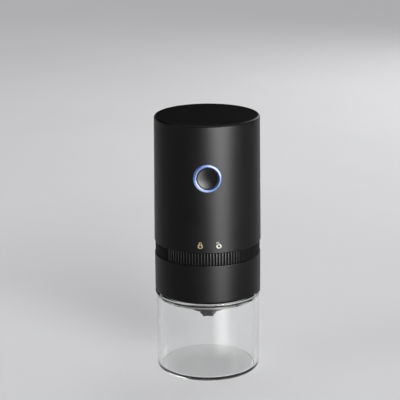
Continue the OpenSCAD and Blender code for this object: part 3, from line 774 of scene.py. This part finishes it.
@dataclass
class Collar:
    """Smooth black collar above the glass."""

    wall: float = 2.0 * MM
    web: float = 2.0 * MM
    web_low: float = 11.9 * MM
    bore_in: float = 2.9 * MM
    hole: float = 21.1 * MM
    round_low: float = 2.4 * MM
    round_top: float = 0.4 * MM
    top_steps: int = 6

    def build(self) -> Piece:
        """Turns the collar.

        Returns:
            The collar with its web.
        """
        low, high = node_box("collar")
        out, base, top = high[0], low[2], high[2]
        bore = out - self.bore_in
        web_low = base + self.web_low
        web_top = web_low + self.web
        return turned("collar_shell", [
            (bore, base),
            *fillet((out - self.round_low, base + self.round_low), self.round_low, -90, 0),
            *fillet((out - self.round_top, top - self.round_top), self.round_top, 0, 90, self.top_steps),
            (out - self.wall, top), (out - self.wall, web_top), (self.hole, web_top), (self.hole, web_low),
            (bore, web_low),
        ])

    def dress(self, finishes: Finishes) -> None:
        """Builds the collar and hands it in."""
        handed_in(self.build(), finishes["satin_black_body"], "grinder_base", "black_body", "collar")


class RibPatch(Nodes):
    """Geometry Nodes tree that sets rounded ribs round an upright axis."""

    SOCKETS: dict[str, str] = {
        "Count": "NodeSocketInt", "Step": "NodeSocketFloat", "Middle": "NodeSocketFloat",
        "Radius": "NodeSocketFloat", "Height": "NodeSocketFloat", "Rib": "NodeSocketObject",
    }

    def __init__(self, material: Material) -> None:
        """Builds the tree, with the ribs spread evenly about the patch's middle.

        Args:
            material: finish of the ribs.
        """
        super().__init__(bpy.data.node_groups.new("rib_patch", "GeometryNodeTree"))
        sockets = self.tree.interface
        self.keys: dict[str, str] = {
            name: sockets.new_socket(name, in_out="INPUT", socket_type=kind).identifier
            for name, kind in self.SOCKETS.items()
        }
        sockets.new_socket("Geometry", in_out="OUTPUT", socket_type="NodeSocketGeometry")
        given = self.add("NodeGroupInput").outputs
        index = self.add("GeometryNodeInputIndex").outputs[0]
        half = self.product(self.math("SUBTRACT", given["Count"], 1.0), 0.5)
        turn = self.product(self.math("SUBTRACT", index, half), given["Step"])
        angle = self.math("ADD", turn, given["Middle"])
        x, y = (self.product(self.math(side, angle), given["Radius"]) for side in ("COSINE", "SINE"))
        spots = self.add("GeometryNodePoints", Count=given["Count"],
                         Position=self.gather(x, y, given["Height"]))
        rib = self.add("GeometryNodeObjectInfo", Object=given["Rib"])
        copies = self.add("GeometryNodeInstanceOnPoints", Points=spots.outputs[0],
                          Instance=rib.outputs["Geometry"], Rotation=self.gather(0.0, 0.0, angle))
        real = self.add("GeometryNodeRealizeInstances", Geometry=copies.outputs[0])
        paint = self.add("GeometryNodeSetMaterial", Geometry=real.outputs[0], Material=material)
        self.add("NodeGroupOutput", Geometry=paint.outputs[0])

    def grow(self, name: str, rib: Piece, **sizes: float) -> Piece:
        """Makes the patch as plain mesh.

        Args:
            name: the piece's name.
            rib: the piece to repeat, along +X from its own origin.
            sizes: values of the tree's inputs.
        Returns:
            The new object.
        """
        piece = linked(name, bpy.data.meshes.new(name))
        step = piece.modifiers.new("ribs", "NODES")
        step.node_group = self.tree
        for key, value in {"Rib": rib, **sizes}.items():
            step[self.keys[key]] = value
        baked(piece)
        bpy.data.objects.remove(rib)
        return piece


@dataclass
class LockRing:
    """Recessed band with its patch of grip ribs, on the sleeve that carries the lugs."""

    band_h: float = 8.4 * MM
    rib_proud: float = 0.2 * MM
    rib_w: float = 0.8 * MM
    rib_margin: float = 0.15 * MM
    rib_recess: float = 0.9 * MM
    rib_round: float = 0.16 * MM
    rib_count: int = 26
    rib_step: float = math.radians(3.3)
    rib_mid: float = math.radians(-95.6)
    root: float = 0.3 * MM
    edge: float = 0.2 * MM
    sleeve_r: float = 30.2 * MM
    sleeve_in: float = 29.0 * MM
    lug_r: float = 31.4 * MM
    lug_h: float = 2.0 * MM
    lug_count: int = 4
    lug_width: float = math.radians(24.0)
    arc_step: float = math.radians(1.5)
    arc_least: int = 8
    tool_over: float = 1.0 * MM

    def build_ring(self) -> Piece:
        """Turns the band and its sleeve, adds the lugs and cuts the bed of the ribs.

        Returns:
            The ring without ribs.
        """
        low, high = node_box("lock_ring")
        # The plain band's radius is taken at the side, where no rib stands
        out, base, top = high[0], low[2], high[2]
        shoulder = base + self.band_h
        ring = turned("lock_ring_band", [
            (self.sleeve_in, base), (out - self.edge, base), (out, base + self.edge),
            (out, shoulder - self.edge), (out - self.edge, shoulder), (self.sleeve_r, shoulder),
            (self.sleeve_r, top), (self.sleeve_in, top),
        ])
        cut(ring, *(self.lug(i, top) for i in range(self.lug_count)), operation="UNION")
        patch = self.rib_count * self.rib_step
        bed = self.sector("rib_bed", (out - self.rib_recess, out + self.tool_over),
                          self.rib_mid - patch / 2, patch,
                          (base - self.tool_over, shoulder + self.tool_over))
        return cut(ring, bed)

    def sector(self, name: str, radii: Span, start: float, sweep: float, heights: Span) -> Piece:
        """Makes part of a ring.

        Args:
            name: its name.
            radii: inner and outer radius.
            start: first angle, from +X.
            sweep: angle that it runs over.
            heights: heights of its lower and upper face.
        Returns:
            The part.
        """
        inner, outer = radii
        steps = max(self.arc_least, round(sweep / self.arc_step))
        angles = [start + sweep * i / steps for i in range(steps + 1)]
        outline = [polar(outer, a) for a in angles] + [polar(inner, a) for a in reversed(angles)]
        return prism(name, outline, *heights)

    def lug(self, number: int, top: float) -> Piece:
        """Makes one bayonet lug by its number, up to a height."""
        return self.sector(f"lug_{number}", (self.sleeve_r - self.root, self.lug_r),
                           FULL_TURN * number / self.lug_count, self.lug_width, (top - self.lug_h, top))

    def build_ribs(self, material: Material) -> Piece:
        """Makes the grip patch with Geometry Nodes.

        Args:
            material: finish of the ribs.
        Returns:
            The ribs.
        """
        low, high = node_box("lock_ring")
        sunk, half = self.rib_recess + self.root, self.rib_w / 2
        outline = [(-sunk, -half), (self.rib_proud, -half), (self.rib_proud, half), (-sunk, half)]
        rib = prism("rib", outline, self.rib_margin, self.band_h - self.rib_margin)
        softened(rib, self.rib_round)
        return RibPatch(material).grow("lock_ring_ribs", rib, Count=self.rib_count, Step=self.rib_step,
                                       Middle=self.rib_mid, Radius=high[0], Height=low[2])

    def dress(self, finishes: Finishes) -> None:
        """Builds the ring and its ribs and hands them in.

        Args:
            finishes: the materials.
        """
        # The band's finish carries painted shade for the recess between the ribs.
        handed_in(self.build_ring(), finishes["dull_black_band"], "locking_ring", "black_body", "lock_ring")
        grip = finishes["ribbed_black_grip"]
        handed_in(self.build_ribs(grip), grip, "locking_ring", "black_body")


@dataclass
class Button:
    """Dished metal button with the lit ring round it."""

    MIDDLE_Z: ClassVar[float] = 137.6 * MM
    CAP_R: ClassVar[float] = 6.5 * MM
    GAP: ClassVar[float] = 0.25 * MM
    LIGHT_R: ClassVar[float] = 9.1 * MM
    LIGHT_FLANGE: ClassVar[float] = 1.4 * MM
    LIGHT_MIDDLE: ClassVar[float] = (LIGHT_R + CAP_R + GAP) / 2
    LIGHT_HALF: ClassVar[float] = (LIGHT_R - CAP_R - GAP) / 2

    dish: float = 0.7 * MM
    dish_r: float = 30.0 * MM
    edge: float = 0.175 * MM
    edge_steps: int = 5
    crown: float = 0.55 * MM
    light_lip: float = 2.0 * MM
    cap_flange: float = 1.2 * MM
    stem_r: float = 2.0 * MM
    stem_len: float = 0.9 * MM
    face_steps: int = 14
    round_steps: int = 192

    def build_light(self) -> Piece:
        """Turns the lit ring, with a crowned face.

        Returns:
            The ring.
        """
        low, high = node_box("light_ring")
        face, back = -low[1], -high[1]
        seat, lip = back + self.LIGHT_FLANGE, self.LIGHT_R + self.light_lip
        half, crown = self.LIGHT_HALF, self.crown
        sphere = (half * half + crown * crown) / (2 * crown)
        reach = math.degrees(math.asin(half / sphere))
        return turned("light_ring_lens", [
            (self.CAP_R + self.GAP, back), (lip, back), (lip, seat), (self.LIGHT_R, seat),
            *fillet((self.LIGHT_MIDDLE, face - sphere), sphere, 90 - reach, 90 + reach, self.face_steps),
        ], Axis.Y, self.MIDDLE_Z, self.round_steps)

    def build_cap(self) -> Piece:
        """Turns the button cap with its flange and stem.

        Returns:
            The cap.
        """
        low, high = node_box("start_button")
        face, stem = -low[1], -high[1]
        back = stem + self.stem_len
        flange_r, flange = self.CAP_R + self.cap_flange, back + self.cap_flange
        hollow_half = math.sqrt(self.dish_r ** 2 - (self.dish_r - self.dish) ** 2)
        reach = math.degrees(math.asin(hollow_half / self.dish_r))
        return turned("start_button_cap", [
            (0.0, stem), (self.stem_r, stem), (self.stem_r, back), (flange_r, back), (flange_r, flange),
            (self.CAP_R, flange),
            *fillet((self.CAP_R - self.edge, face - self.edge), self.edge, 0, 90, self.edge_steps),
            *fillet((0.0, face + self.dish_r - self.dish), self.dish_r, -90 + reach, -90, self.face_steps),
        ], Axis.Y, self.MIDDLE_Z, self.round_steps)

    def dress(self, finishes: Finishes) -> None:
        """Builds the button and its ring and hands them in.

        Args:
            finishes: the materials.
        """
        handed_in(self.build_light(), finishes["lit_blue_diffuser"], "upper_unit", "light_diffuser",
                  "light_ring")
        handed_in(self.build_cap(), finishes["gunmetal_button"], "push_button", "button_metal",
                  "start_button")


@dataclass
class Housing:
    """Tall black housing with its top disc and its socket at the back."""

    draft: float = 0.75 * MM
    rim_round: float = 1.6 * MM
    rim_steps: int = 12
    low_round: float = 0.5 * MM
    low_steps: int = 6
    skirt_wall: float = 1.8 * MM
    inner: float = 31.9 * MM
    disc_gap: float = 0.1 * MM
    disc_edge: float = 0.3 * MM
    disc_steps: int = 5
    disc_sink: float = 2.2 * MM
    plug_wall: float = 1.6 * MM
    ledge: Place = (28.1 * MM, 105.0 * MM, 107.0 * MM)
    hole_end: float = 50.0 * MM
    hole_steps: int = 160
    boss_r: float = 12.1 * MM
    boss_end: float = 40.0 * MM
    boss_steps: int = 128
    boss_into: float = 1.0 * MM
    socket_size: Point = (9.54 * MM, 3.86 * MM)
    socket_depth: Span = (28.0 * MM, 50.0 * MM)
    socket_steps: int = 20

    def radius(self, height: float) -> float:
        """Returns the outer radius at a height."""
        low, high = node_box("main_housing")
        return high[0] - self.draft * (height - low[2]) / (high[2] - low[2])

    def build_shell(self) -> Piece:
        """Turns the shell and cuts the socket's slot and the button's hole.

        Returns:
            The housing.
        """
        low, high = node_box("main_housing")
        base, top, out = low[2], high[2], high[0]
        skirt, rim = out - self.skirt_wall, out - self.draft - self.rim_round
        well, seat = node_box("top_cover")[1][0] + self.disc_gap, top - self.disc_sink
        ledge_r, ledge_low, ledge_top = self.ledge
        shell = turned("housing_shell", [
            (skirt, base),
            *fillet((out - self.low_round, base + self.low_round), self.low_round, -90, 0, self.low_steps),
            *fillet((rim, top - self.rim_round), self.rim_round, 0, 90, self.rim_steps),
            (well, top), (well, seat), (self.inner, seat), (self.inner, ledge_top), (ledge_r, ledge_top),
            (ledge_r, ledge_low), (skirt, ledge_low),
        ])
        # The slot comes first, because the cut leaves a skin in it once the boss is joined on
        cut(shell, self.slot_tool())
        cut(shell, self.build_boss(), operation="UNION")
        return cut(shell, rod("button_hole", Button.LIGHT_R + self.disc_gap, 0.0, self.hole_end, Axis.Y,
                              Button.MIDDLE_Z, self.hole_steps))

    def build_boss(self) -> Piece:
        """Makes the flat-backed boss inside the wall that carries the lit ring.

        Returns:
            The boss.
        """
        back = -node_box("light_ring")[1][1] + Button.LIGHT_FLANGE
        middle, span = Button.MIDDLE_Z, 2 * self.boss_r
        boss = rod("button_boss", self.boss_r, back, self.boss_end, Axis.Y, middle, self.boss_steps)
        limit = rod("boss_limit", self.inner + self.boss_into, middle - span, middle + span)
        return cut(boss, limit, operation="INTERSECT")

    def slot_tool(self) -> Piece:
        """Makes the tool that cuts the charging socket's slot.

        Returns:
            The tool, with round ends.
        """
        low, high = node_box("usb_socket")
        middle = (low[2] + high[2]) / 2
        width, height = self.socket_size
        end, steps = (width - height) / 2, self.socket_steps
        outline = [point for side, start in ((end, -90), (-end, 90))
                   for point in fillet((side, 0.0), height / 2, start, start + 180, steps)]
        return prism("socket_slot", outline, *self.socket_depth, lambda x, y, z: (x, z, middle + y))

    def build_disc(self) -> Piece:
        """Turns the disc let into the top.

        Returns:
            The disc with its plug.
        """
        low, high = node_box("top_cover")
        out, top = high[0], high[2]
        seat = node_box("main_housing")[1][2] - self.disc_sink
        plug = self.inner - self.disc_gap
        plug_in = plug - self.plug_wall
        return turned("top_disc", [
            (0.0, seat), (plug_in, seat), (plug_in, low[2]), (plug, low[2]), (plug, seat), (out, seat),
            *fillet((out - self.disc_edge, top - self.disc_edge), self.disc_edge, 0, 90, self.disc_steps),
            (0.0, top),
        ])

    def dress(self, finishes: Finishes) -> None:
        """Builds the housing and its disc and hands them in.

        Args:
            finishes: the materials.
        """
        handed_in(self.build_shell(), finishes["satin_black_body"], "upper_unit", "black_body",
                  "main_housing")
        handed_in(self.build_disc(), finishes["black_top_disc"], "upper_unit", "black_body", "top_cover")


class Shackle(Enum):
    """How a padlock mark's shackle stands."""

    CLOSED = 0.0
    OPEN = 1.0


@dataclass
class LockMarks:
    """Printed padlocks above the ribbed band, closed on the left and open on the right."""

    middle_z: float = 93.5 * MM
    closed_at: float = math.radians(-8.0)
    open_at: float = math.radians(11.6)
    width: float = 3.15 * MM
    body_h: float = 2.6 * MM
    squareness: float = 2.8
    body_steps: int = 48
    body_strips: int = 4
    keyhole: float = 0.92 * MM
    shackle_r: float = 0.78 * MM
    shackle_h: float = 0.7 * MM
    shackle_end: float = 0.1 * MM
    shackle_steps: int = 18
    shackle_strips: int = 2
    stroke: float = 0.34 * MM
    print_offset: Span = (-0.02 * MM, 0.04 * MM)

    def on_shell(self, across: float, up: float, out: float, middle: float) -> Place:
        """Bends a flat print onto the housing.

        Args:
            across: distance to the right of the mark's middle.
            up: height above it.
            out: distance off the surface.
            middle: the mark's angle from the front, to the right.
        Returns:
            The point in the frame.
        """
        height = self.middle_z + up
        radius = Housing().radius(height)
        angle = middle + across / radius
        return ((radius + out) * math.sin(angle), -(radius + out) * math.cos(angle), height)

    def ribbon(self, inner: Sequence[Point], outer: Sequence[Point], closed: bool, strips: int, middle: float,
               points: list[Place], faces: list[Sequence[int]]) -> None:
        """Adds a printed ribbon between two lines, bent onto the shell and with a little thickness.

        Args:
            inner: points of one edge.
            outer: points of the other edge, as many.
            closed: whether the ribbon joins its own start.
            strips: strips between the edges.
            middle: the mark's angle.
            points: list that takes the corners.
            faces: list that takes the faces.
        """
        first, rows, columns = len(points), len(inner), strips + 1
        layer = rows * columns
        for out in self.print_offset:
            for (x0, y0), (x1, y1) in zip(inner, outer):
                for share in (j / strips for j in range(columns)):
                    points.append(self.on_shell(x0 + (x1 - x0) * share, y0 + (y1 - y0) * share, out, middle))
        for side in (first, first + layer):
            faces += grid(rows, columns, closed, first=side)
        rims = [(row * columns + j, (row + 1) % rows * columns + j)
                for row in range(rows if closed else rows - 1) for j in (0, strips)]
        if not closed:
            rims += [(row * columns + j, row * columns + j + 1)
                     for row in (0, rows - 1) for j in range(strips)]
        faces += [(first + a, first + a + layer, first + b + layer, first + b) for a, b in rims]

    def body_outline(self, angle: float) -> Point:
        """Finds the padlock body's edge, a rounded rectangle.

        Args:
            angle: the direction from the body's middle.
        Returns:
            The point on the edge.
        """
        c, s = polar(1.0, angle)
        power = self.squareness
        reach = (abs(c / (self.width / 2)) ** power + abs(s / (self.body_h / 2)) ** power) ** (-1 / power)
        return (reach * c, reach * s)

    def build(self, shackle: Shackle, middle: float) -> Piece:
        """Makes one padlock.

        Args:
            shackle: closed or open.
            middle: its angle from the front, to the right.
        Returns:
            The print.
        """
        points: list[Place] = []
        faces: list[Sequence[int]] = []
        drop = -self.shackle_r / 2 - self.stroke / 2
        angles = [FULL_TURN * i / self.body_steps for i in range(self.body_steps)]
        hole, edge = ([(x, y + drop) for x, y in line] for line in (
            [polar(self.keyhole, a) for a in angles], map(self.body_outline, angles)))
        self.ribbon(hole, edge, True, self.body_strips, middle, points, faces)
        foot = drop + self.body_h / 2 - self.shackle_end
        rise = foot + self.shackle_h
        end = rise + self.shackle_end if shackle is Shackle.OPEN else foot
        shift = -shackle.value * self.shackle_r
        inner, outer = (
            [(shift + reach, foot), *fillet((shift, rise), reach, 0, 180, self.shackle_steps),
             (shift - reach, end)]
            for reach in (self.shackle_r - self.stroke / 2, self.shackle_r + self.stroke / 2))
        self.ribbon(inner, outer, False, self.shackle_strips, middle, points, faces)
        return mesh_object(f"padlock_{shackle.name.lower()}", points, faces)

    def dress(self, finishes: Finishes) -> None:
        """Builds both marks and hands them in.

        Args:
            finishes: the materials.
        """
        for shackle, middle, finish in ((Shackle.CLOSED, self.closed_at, "gold_print"),
                                        (Shackle.OPEN, self.open_at, "pale_gold_print")):
            handed_in(self.build(shackle, middle), finishes[finish], "upper_unit", "")


@dataclass
class BurrSpring:
    """Compression spring wound round the spindle above the cone burr."""

    turns: int = 5
    wire: float = 0.45 * MM
    steps_per_turn: int = 40
    sides: int = 12

    def build(self) -> Piece:
        """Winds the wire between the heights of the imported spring.

        Returns:
            The spring.
        """
        low, high = node_box("burr_spring")
        mean = high[0] - self.wire
        start, rise = low[2] + self.wire, high[2] - low[2] - 2 * self.wire
        rings, sides = self.turns * self.steps_per_turn, self.sides
        points: list[Place] = []
        for i in range(rings + 1):
            c, s = polar(1.0, FULL_TURN * i / self.steps_per_turn)
            for out, up in (polar(self.wire, FULL_TURN * j / sides) for j in range(sides)):
                points.append(((mean + out) * c, (mean + out) * s, start + rise * i / rings + up))
        ends = [range(sides), range(rings * sides, (rings + 1) * sides)]
        return mesh_object("burr_spring_wire", points, [*ends, *grid(rings + 1, sides, round_columns=True)])

    def dress(self, finishes: Finishes) -> None:
        """Winds the spring and hands it in, on no body.

        Args:
            finishes: the materials.
        """
        spring = handed_in(self.build(), finishes["bright_steel"], "", "steel", "burr_spring")
        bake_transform(spring)


@dataclass
class StarKnob:
    """Star knob under the burrs that sets the grind, seen through the glass."""

    lobes: int = 5
    lobe: float = 0.77 * MM
    reach: float = 5.4 * MM
    outline_steps: int = 160
    bore: float = 3.2 * MM
    bore_end: float = 60.0 * MM
    bore_steps: int = 80
    edge: float = 0.3 * MM

    def outline_at(self, angle: float) -> Point:
        """Returns the point of the lobed outline at an angle, on a circle that swells in and out."""
        return polar(self.reach - self.lobe * (1 - math.cos(self.lobes * (angle - math.pi / 2))), angle)

    def build(self) -> Piece:
        """Makes the knob from its lobed outline.

        Returns:
            The knob with its bore.
        """
        low, high = node_box("star_knob")
        outline = [self.outline_at(FULL_TURN * i / self.outline_steps) for i in range(self.outline_steps)]
        knob = softened(prism("star_knob_body", outline, low[2], high[2]), self.edge)
        return cut(knob, rod("knob_bore", self.bore, -self.edge, self.bore_end, steps=self.bore_steps))

    def dress(self, finishes: Finishes) -> None:
        """Builds the knob and hands it in."""
        handed_in(self.build(), finishes["dark_moulding"], "grind_adjuster", "dark_plastic", "star_knob")


class Innards:
    """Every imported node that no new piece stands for, finished by its material slot."""

    BY_SLOT: dict[str, str] = {
        "black_body": "satin_black_body", "dark_plastic": "dark_moulding",
        "clear_glass": "clear_pressed_glass", "ceramic": "white_ceramic",
        "steel": "bright_steel", "brass": "turned_brass",
        "silicone": "grey_silicone", "nylon": "natural_nylon",
        "circuit_board": "green_circuit_board", "light_diffuser": "lit_blue_diffuser",
        "button_metal": "gunmetal_button", "switch_black": "switch_plastic",
        "led_epoxy": "led_resin", "cell_sleeve": "cell_sleeve",
        "ferrite": "dark_ferrite", "winding": "copper_winding",
    }

    def __init__(self, frame: dict) -> None:
        """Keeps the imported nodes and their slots.
        """
        self.nodes: dict[str, Piece] = frame["nodes"]
        self.slots: dict[str, str] = {p["node"]: p["material_slot"] for p in frame["record"]["subparts"]}

    def dress(self, finishes: Finishes) -> None:
        """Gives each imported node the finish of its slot.

        Args:
            finishes: the materials.
        """
        for name, node in self.nodes.items():
            node.data.materials.clear()
            node.data.materials.append(finishes[self.BY_SLOT[self.slots[name]]])
            LOG.info("%s: %s", name, self.slots[name])


# Studio


@dataclass(frozen=True)
class Lamp:
    """One soft rectangular studio lamp, aimed at a point."""

    name: str
    place: Place
    aim: Place
    size: Span
    power: float
    mirrored: bool = True
    beam: float = math.pi

    def build(self) -> Piece:
        """Hangs the lamp.

        Returns:
            The lamp's object.
        """
        light = bpy.data.lights.new(self.name, "AREA")
        light.shape = "RECTANGLE"
        light.size, light.size_y = self.size
        light.energy = self.power
        light.spread = self.beam
        lamp = linked(self.name, light)
        lamp.location = self.place
        lamp.rotation_euler = (Vector(self.aim) - Vector(self.place)).to_track_quat("-Z", "Y").to_euler()
        lamp.visible_camera = False
        lamp.visible_glossy = self.mirrored
        lamp.visible_transmission = self.mirrored
        return lamp


@dataclass(frozen=True)
class LightCard:
    """Soft-edged card of light that lies in front of the grinder to the right and then stands up."""

    aside: float = math.radians(27.5)
    half: float = math.radians(24.0)
    flare: float = 1.5
    near: float = 0.066
    near_fade: float = 0.03
    bend: float = 0.42
    top: float = 0.42
    top_fade: float = 0.6
    lift: float = 2.0 * MM
    cup_share: Span = (0.17, 0.24)
    glow_low: float = 5.0
    glow: float = 17.5
    glow_through: float = 0.9
    rise: float = 2.2
    upper: Span = (0.06, 0.12)
    steps: int = 24

    def build(self) -> Piece:
        """Lays the card and bends it up at its far end.

        Returns:
            The card, which is only seen mirrored or through glass and lights no colour.
        """
        last = self.steps + 1
        path = [(self.near + (self.bend - self.near) * i / self.steps, self.lift) for i in range(last)]
        path += [(self.bend, self.lift + (self.top - self.lift) * i / self.steps) for i in range(1, last)]
        angles = [self.aside + self.half * self.flare * (2 * i / self.steps - 1) for i in range(last)]
        points = [(out * math.sin(a), -out * math.cos(a), up) for out, up in path for a in angles]
        mesh = bpy.data.meshes.new("light_card")
        mesh.from_pydata(points, [], list(grid(len(path), len(angles))))
        mesh.materials.append(self.material())
        card = linked("light_card", mesh)
        card.visible_camera = False
        card.visible_shadow = False
        card.visible_diffuse = False
        return card

    def level(self, sheet: Sheet) -> Socket:
        """Builds the card's level, which fades out at its edges and is low where it is seen through glass.

        Args:
            sheet: the card's nodes.
        Returns:
            The strength of its light.
        """
        x, y, z = sheet.split()
        out = sheet.length(x, y)
        turn = sheet.math("ARCTAN2", x, sheet.product(y, -1.0))
        half = sheet.spread(z, self.half, self.half * self.flare, *self.upper)
        soft = sheet.math("MAXIMUM", sheet.hump(turn, self.aside, half), 0.0)
        level = sheet.product(sheet.spread(out, self.glow_low, self.glow, *self.cup_share),
                              sheet.spread(z, 1.0, self.rise, *self.upper))
        through = sheet.add("ShaderNodeLightPath").outputs["Transmission Depth"]
        limit = sheet.spread(through, self.glow * self.rise, self.glow_through, 0.0, 1.0)
        start = sheet.spread(out, 0.0, 1.0, self.near, self.near + self.near_fade)
        end = sheet.spread(z, 1.0, 0.0, self.top_fade * self.top, self.top)
        front = sheet.math("SUBTRACT", 1.0, sheet.add("ShaderNodeNewGeometry").outputs["Backfacing"])
        return sheet.product(soft, soft, start, end, front, sheet.math("MINIMUM", level, limit))

    def material(self) -> Material:
        """Builds the card's glow, with the floor showing through it.

        Returns:
            The material.
        """
        sheet = Sheet("light_card")
        light = sheet.add("ShaderNodeEmission", Strength=self.level(sheet))
        both = sheet.add("ShaderNodeAddShader")
        for target, shader in zip(both.inputs, (light, sheet.add("ShaderNodeBsdfTransparent"))):
            sheet.feed(target, shader.outputs[0])
        sheet.tree.nodes.remove(sheet.shader)
        sheet.put(sheet.output, Surface=both.outputs[0])
        return sheet.material


@dataclass
class Studio:
    """Plain pale floor under soft lamps."""

    floor_half: float = 6.0
    backdrop_h: float = 0.9
    floor_drop: float = 0.3 * MM
    floor_glow: Span = (0.2, 0.75)
    glow_span: Span = (0.3, 3.0)
    paper: Finish = Finish("pale_floor", (0.56, 0.56, 0.57), (0.60, 0.60, 0.61), (0.55, 0.7), marks=400.0,
                           relief=0.00001, strength=0.1, clouds=3.0, specular=0.0)
    sky: Colour = (0.8, 0.82, 0.85)
    sky_level: float = 0.04
    card: LightCard = LightCard()
    lamps: tuple[Lamp, ...] = (
        Lamp("key_right", (1.8, -3.3, 1.8), (0.0, 0.0, 0.09), (2.7, 2.7), 30.0, mirrored=False,
             beam=math.radians(70.0)),
        Lamp("overhead", (0.05, 0.15, 1.25), (0.0, 0.0, 0.1), (0.9, 0.9), 6.0),
        Lamp("fill_left", (-1.0, -0.35, 0.55), (0.0, 0.0, 0.08), (0.35, 0.8), 2.0),
        Lamp("rim_back", (0.55, 0.95, 0.6), (0.0, 0.0, 0.1), (0.5, 0.7), 4.0),
    )

    def build_floor(self) -> Piece:
        """Lays the floor, with low walls far off as a backdrop.

        Returns:
            The floor in its own quiet finish.
        """
        half = self.floor_half
        around = ((-half, -half), (half, -half), (half, half), (-half, half))
        corners = [(x, y, z) for z in (-self.floor_drop, self.backdrop_h) for x, y in around]
        walls = grid(2, len(around), round_columns=True)
        mesh = bpy.data.meshes.new("floor")
        mesh.from_pydata(corners, [], [tuple(range(len(around))), *walls])
        mesh.materials.append(self.lit(self.paper.sheet()))
        return linked("floor", mesh)

    def lit(self, sheet: Sheet) -> Material:
        """Lets the floor glow a little, more so far off, when seen straight, mirrored or through glass.

        Args:
            sheet: the floor's finish.
        Returns:
            Its material.
        """
        path = sheet.add("ShaderNodeLightPath").outputs
        seen = sheet.math("MAXIMUM", path["Is Glossy Ray"], path["Is Transmission Ray"])
        seen = sheet.math("MAXIMUM", path["Is Camera Ray"], seen)
        x, y, _ = sheet.split()
        level = sheet.spread(sheet.length(x, y), *self.floor_glow, *self.glow_span)
        sheet.set(Emission_Strength=sheet.product(seen, level), Emission_Color=(*self.paper.colour, 1.0))
        return sheet.material

    def build_sky(self) -> None:
        """Sets an even, dim sky."""
        world = bpy.data.worlds.new("studio_sky")
        world.use_nodes = True
        background = world.node_tree.nodes["Background"]
        background.inputs["Color"].default_value = (*self.sky, 1.0)
        background.inputs["Strength"].default_value = self.sky_level
        bpy.context.scene.world = world

    def build(self) -> None:
        """Builds the floor, the lamps and the sky."""
        self.build_floor()
        self.card.build()
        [lamp.build() for lamp in self.lamps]
        self.build_sky()
        bpy.context.scene.view_settings.view_transform = "Standard"


@dataclass
class PhotoCamera:
    """Camera at the photo's angle, fitted to the photo's outlines."""

    target: Place = (-0.00482, 0.0, 0.11402)
    distance: float = 0.9862
    pitch: float = math.radians(15.887)
    roll: float = math.radians(-0.436)
    lens: float = 135.56
    sensor: float = 36.0

    def build(self) -> Piece:
        """Sets up the camera.

        Returns:
            The camera's object.
        """
        data = bpy.data.cameras.new("photo_camera")
        data.lens = self.lens
        data.sensor_width = self.sensor
        camera = linked("photo_camera", data)
        c, s = polar(1.0, self.pitch)
        place = Vector(self.target) - self.distance * Vector((0.0, c, -s))
        turn = Matrix(((1.0, 0.0, 0.0), (0.0, s, -c), (0.0, c, s))).to_4x4()
        camera.matrix_world = Matrix.Translation(place) @ turn @ Matrix.Rotation(self.roll, 4, "Z")
        bpy.context.scene.camera = camera
        return camera


def main() -> None:
    """Builds the pieces in order, logging each new piece's faces, then lights them and sets the camera."""
    logging.basicConfig(level=logging.INFO, format="%(name)s %(message)s")
    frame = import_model()
    finishes = Finishes()
    for assembly in (Innards(frame), GlassCup(), Collar(), LockRing(), Housing(), Button(), LockMarks(),
                     BurrSpring(), StarKnob()):
        LOG.info("%s", type(assembly).__name__)
        assembly.dress(finishes)
    Studio().build()
    PhotoCamera().build()


if __name__ == "__main__":
    main()
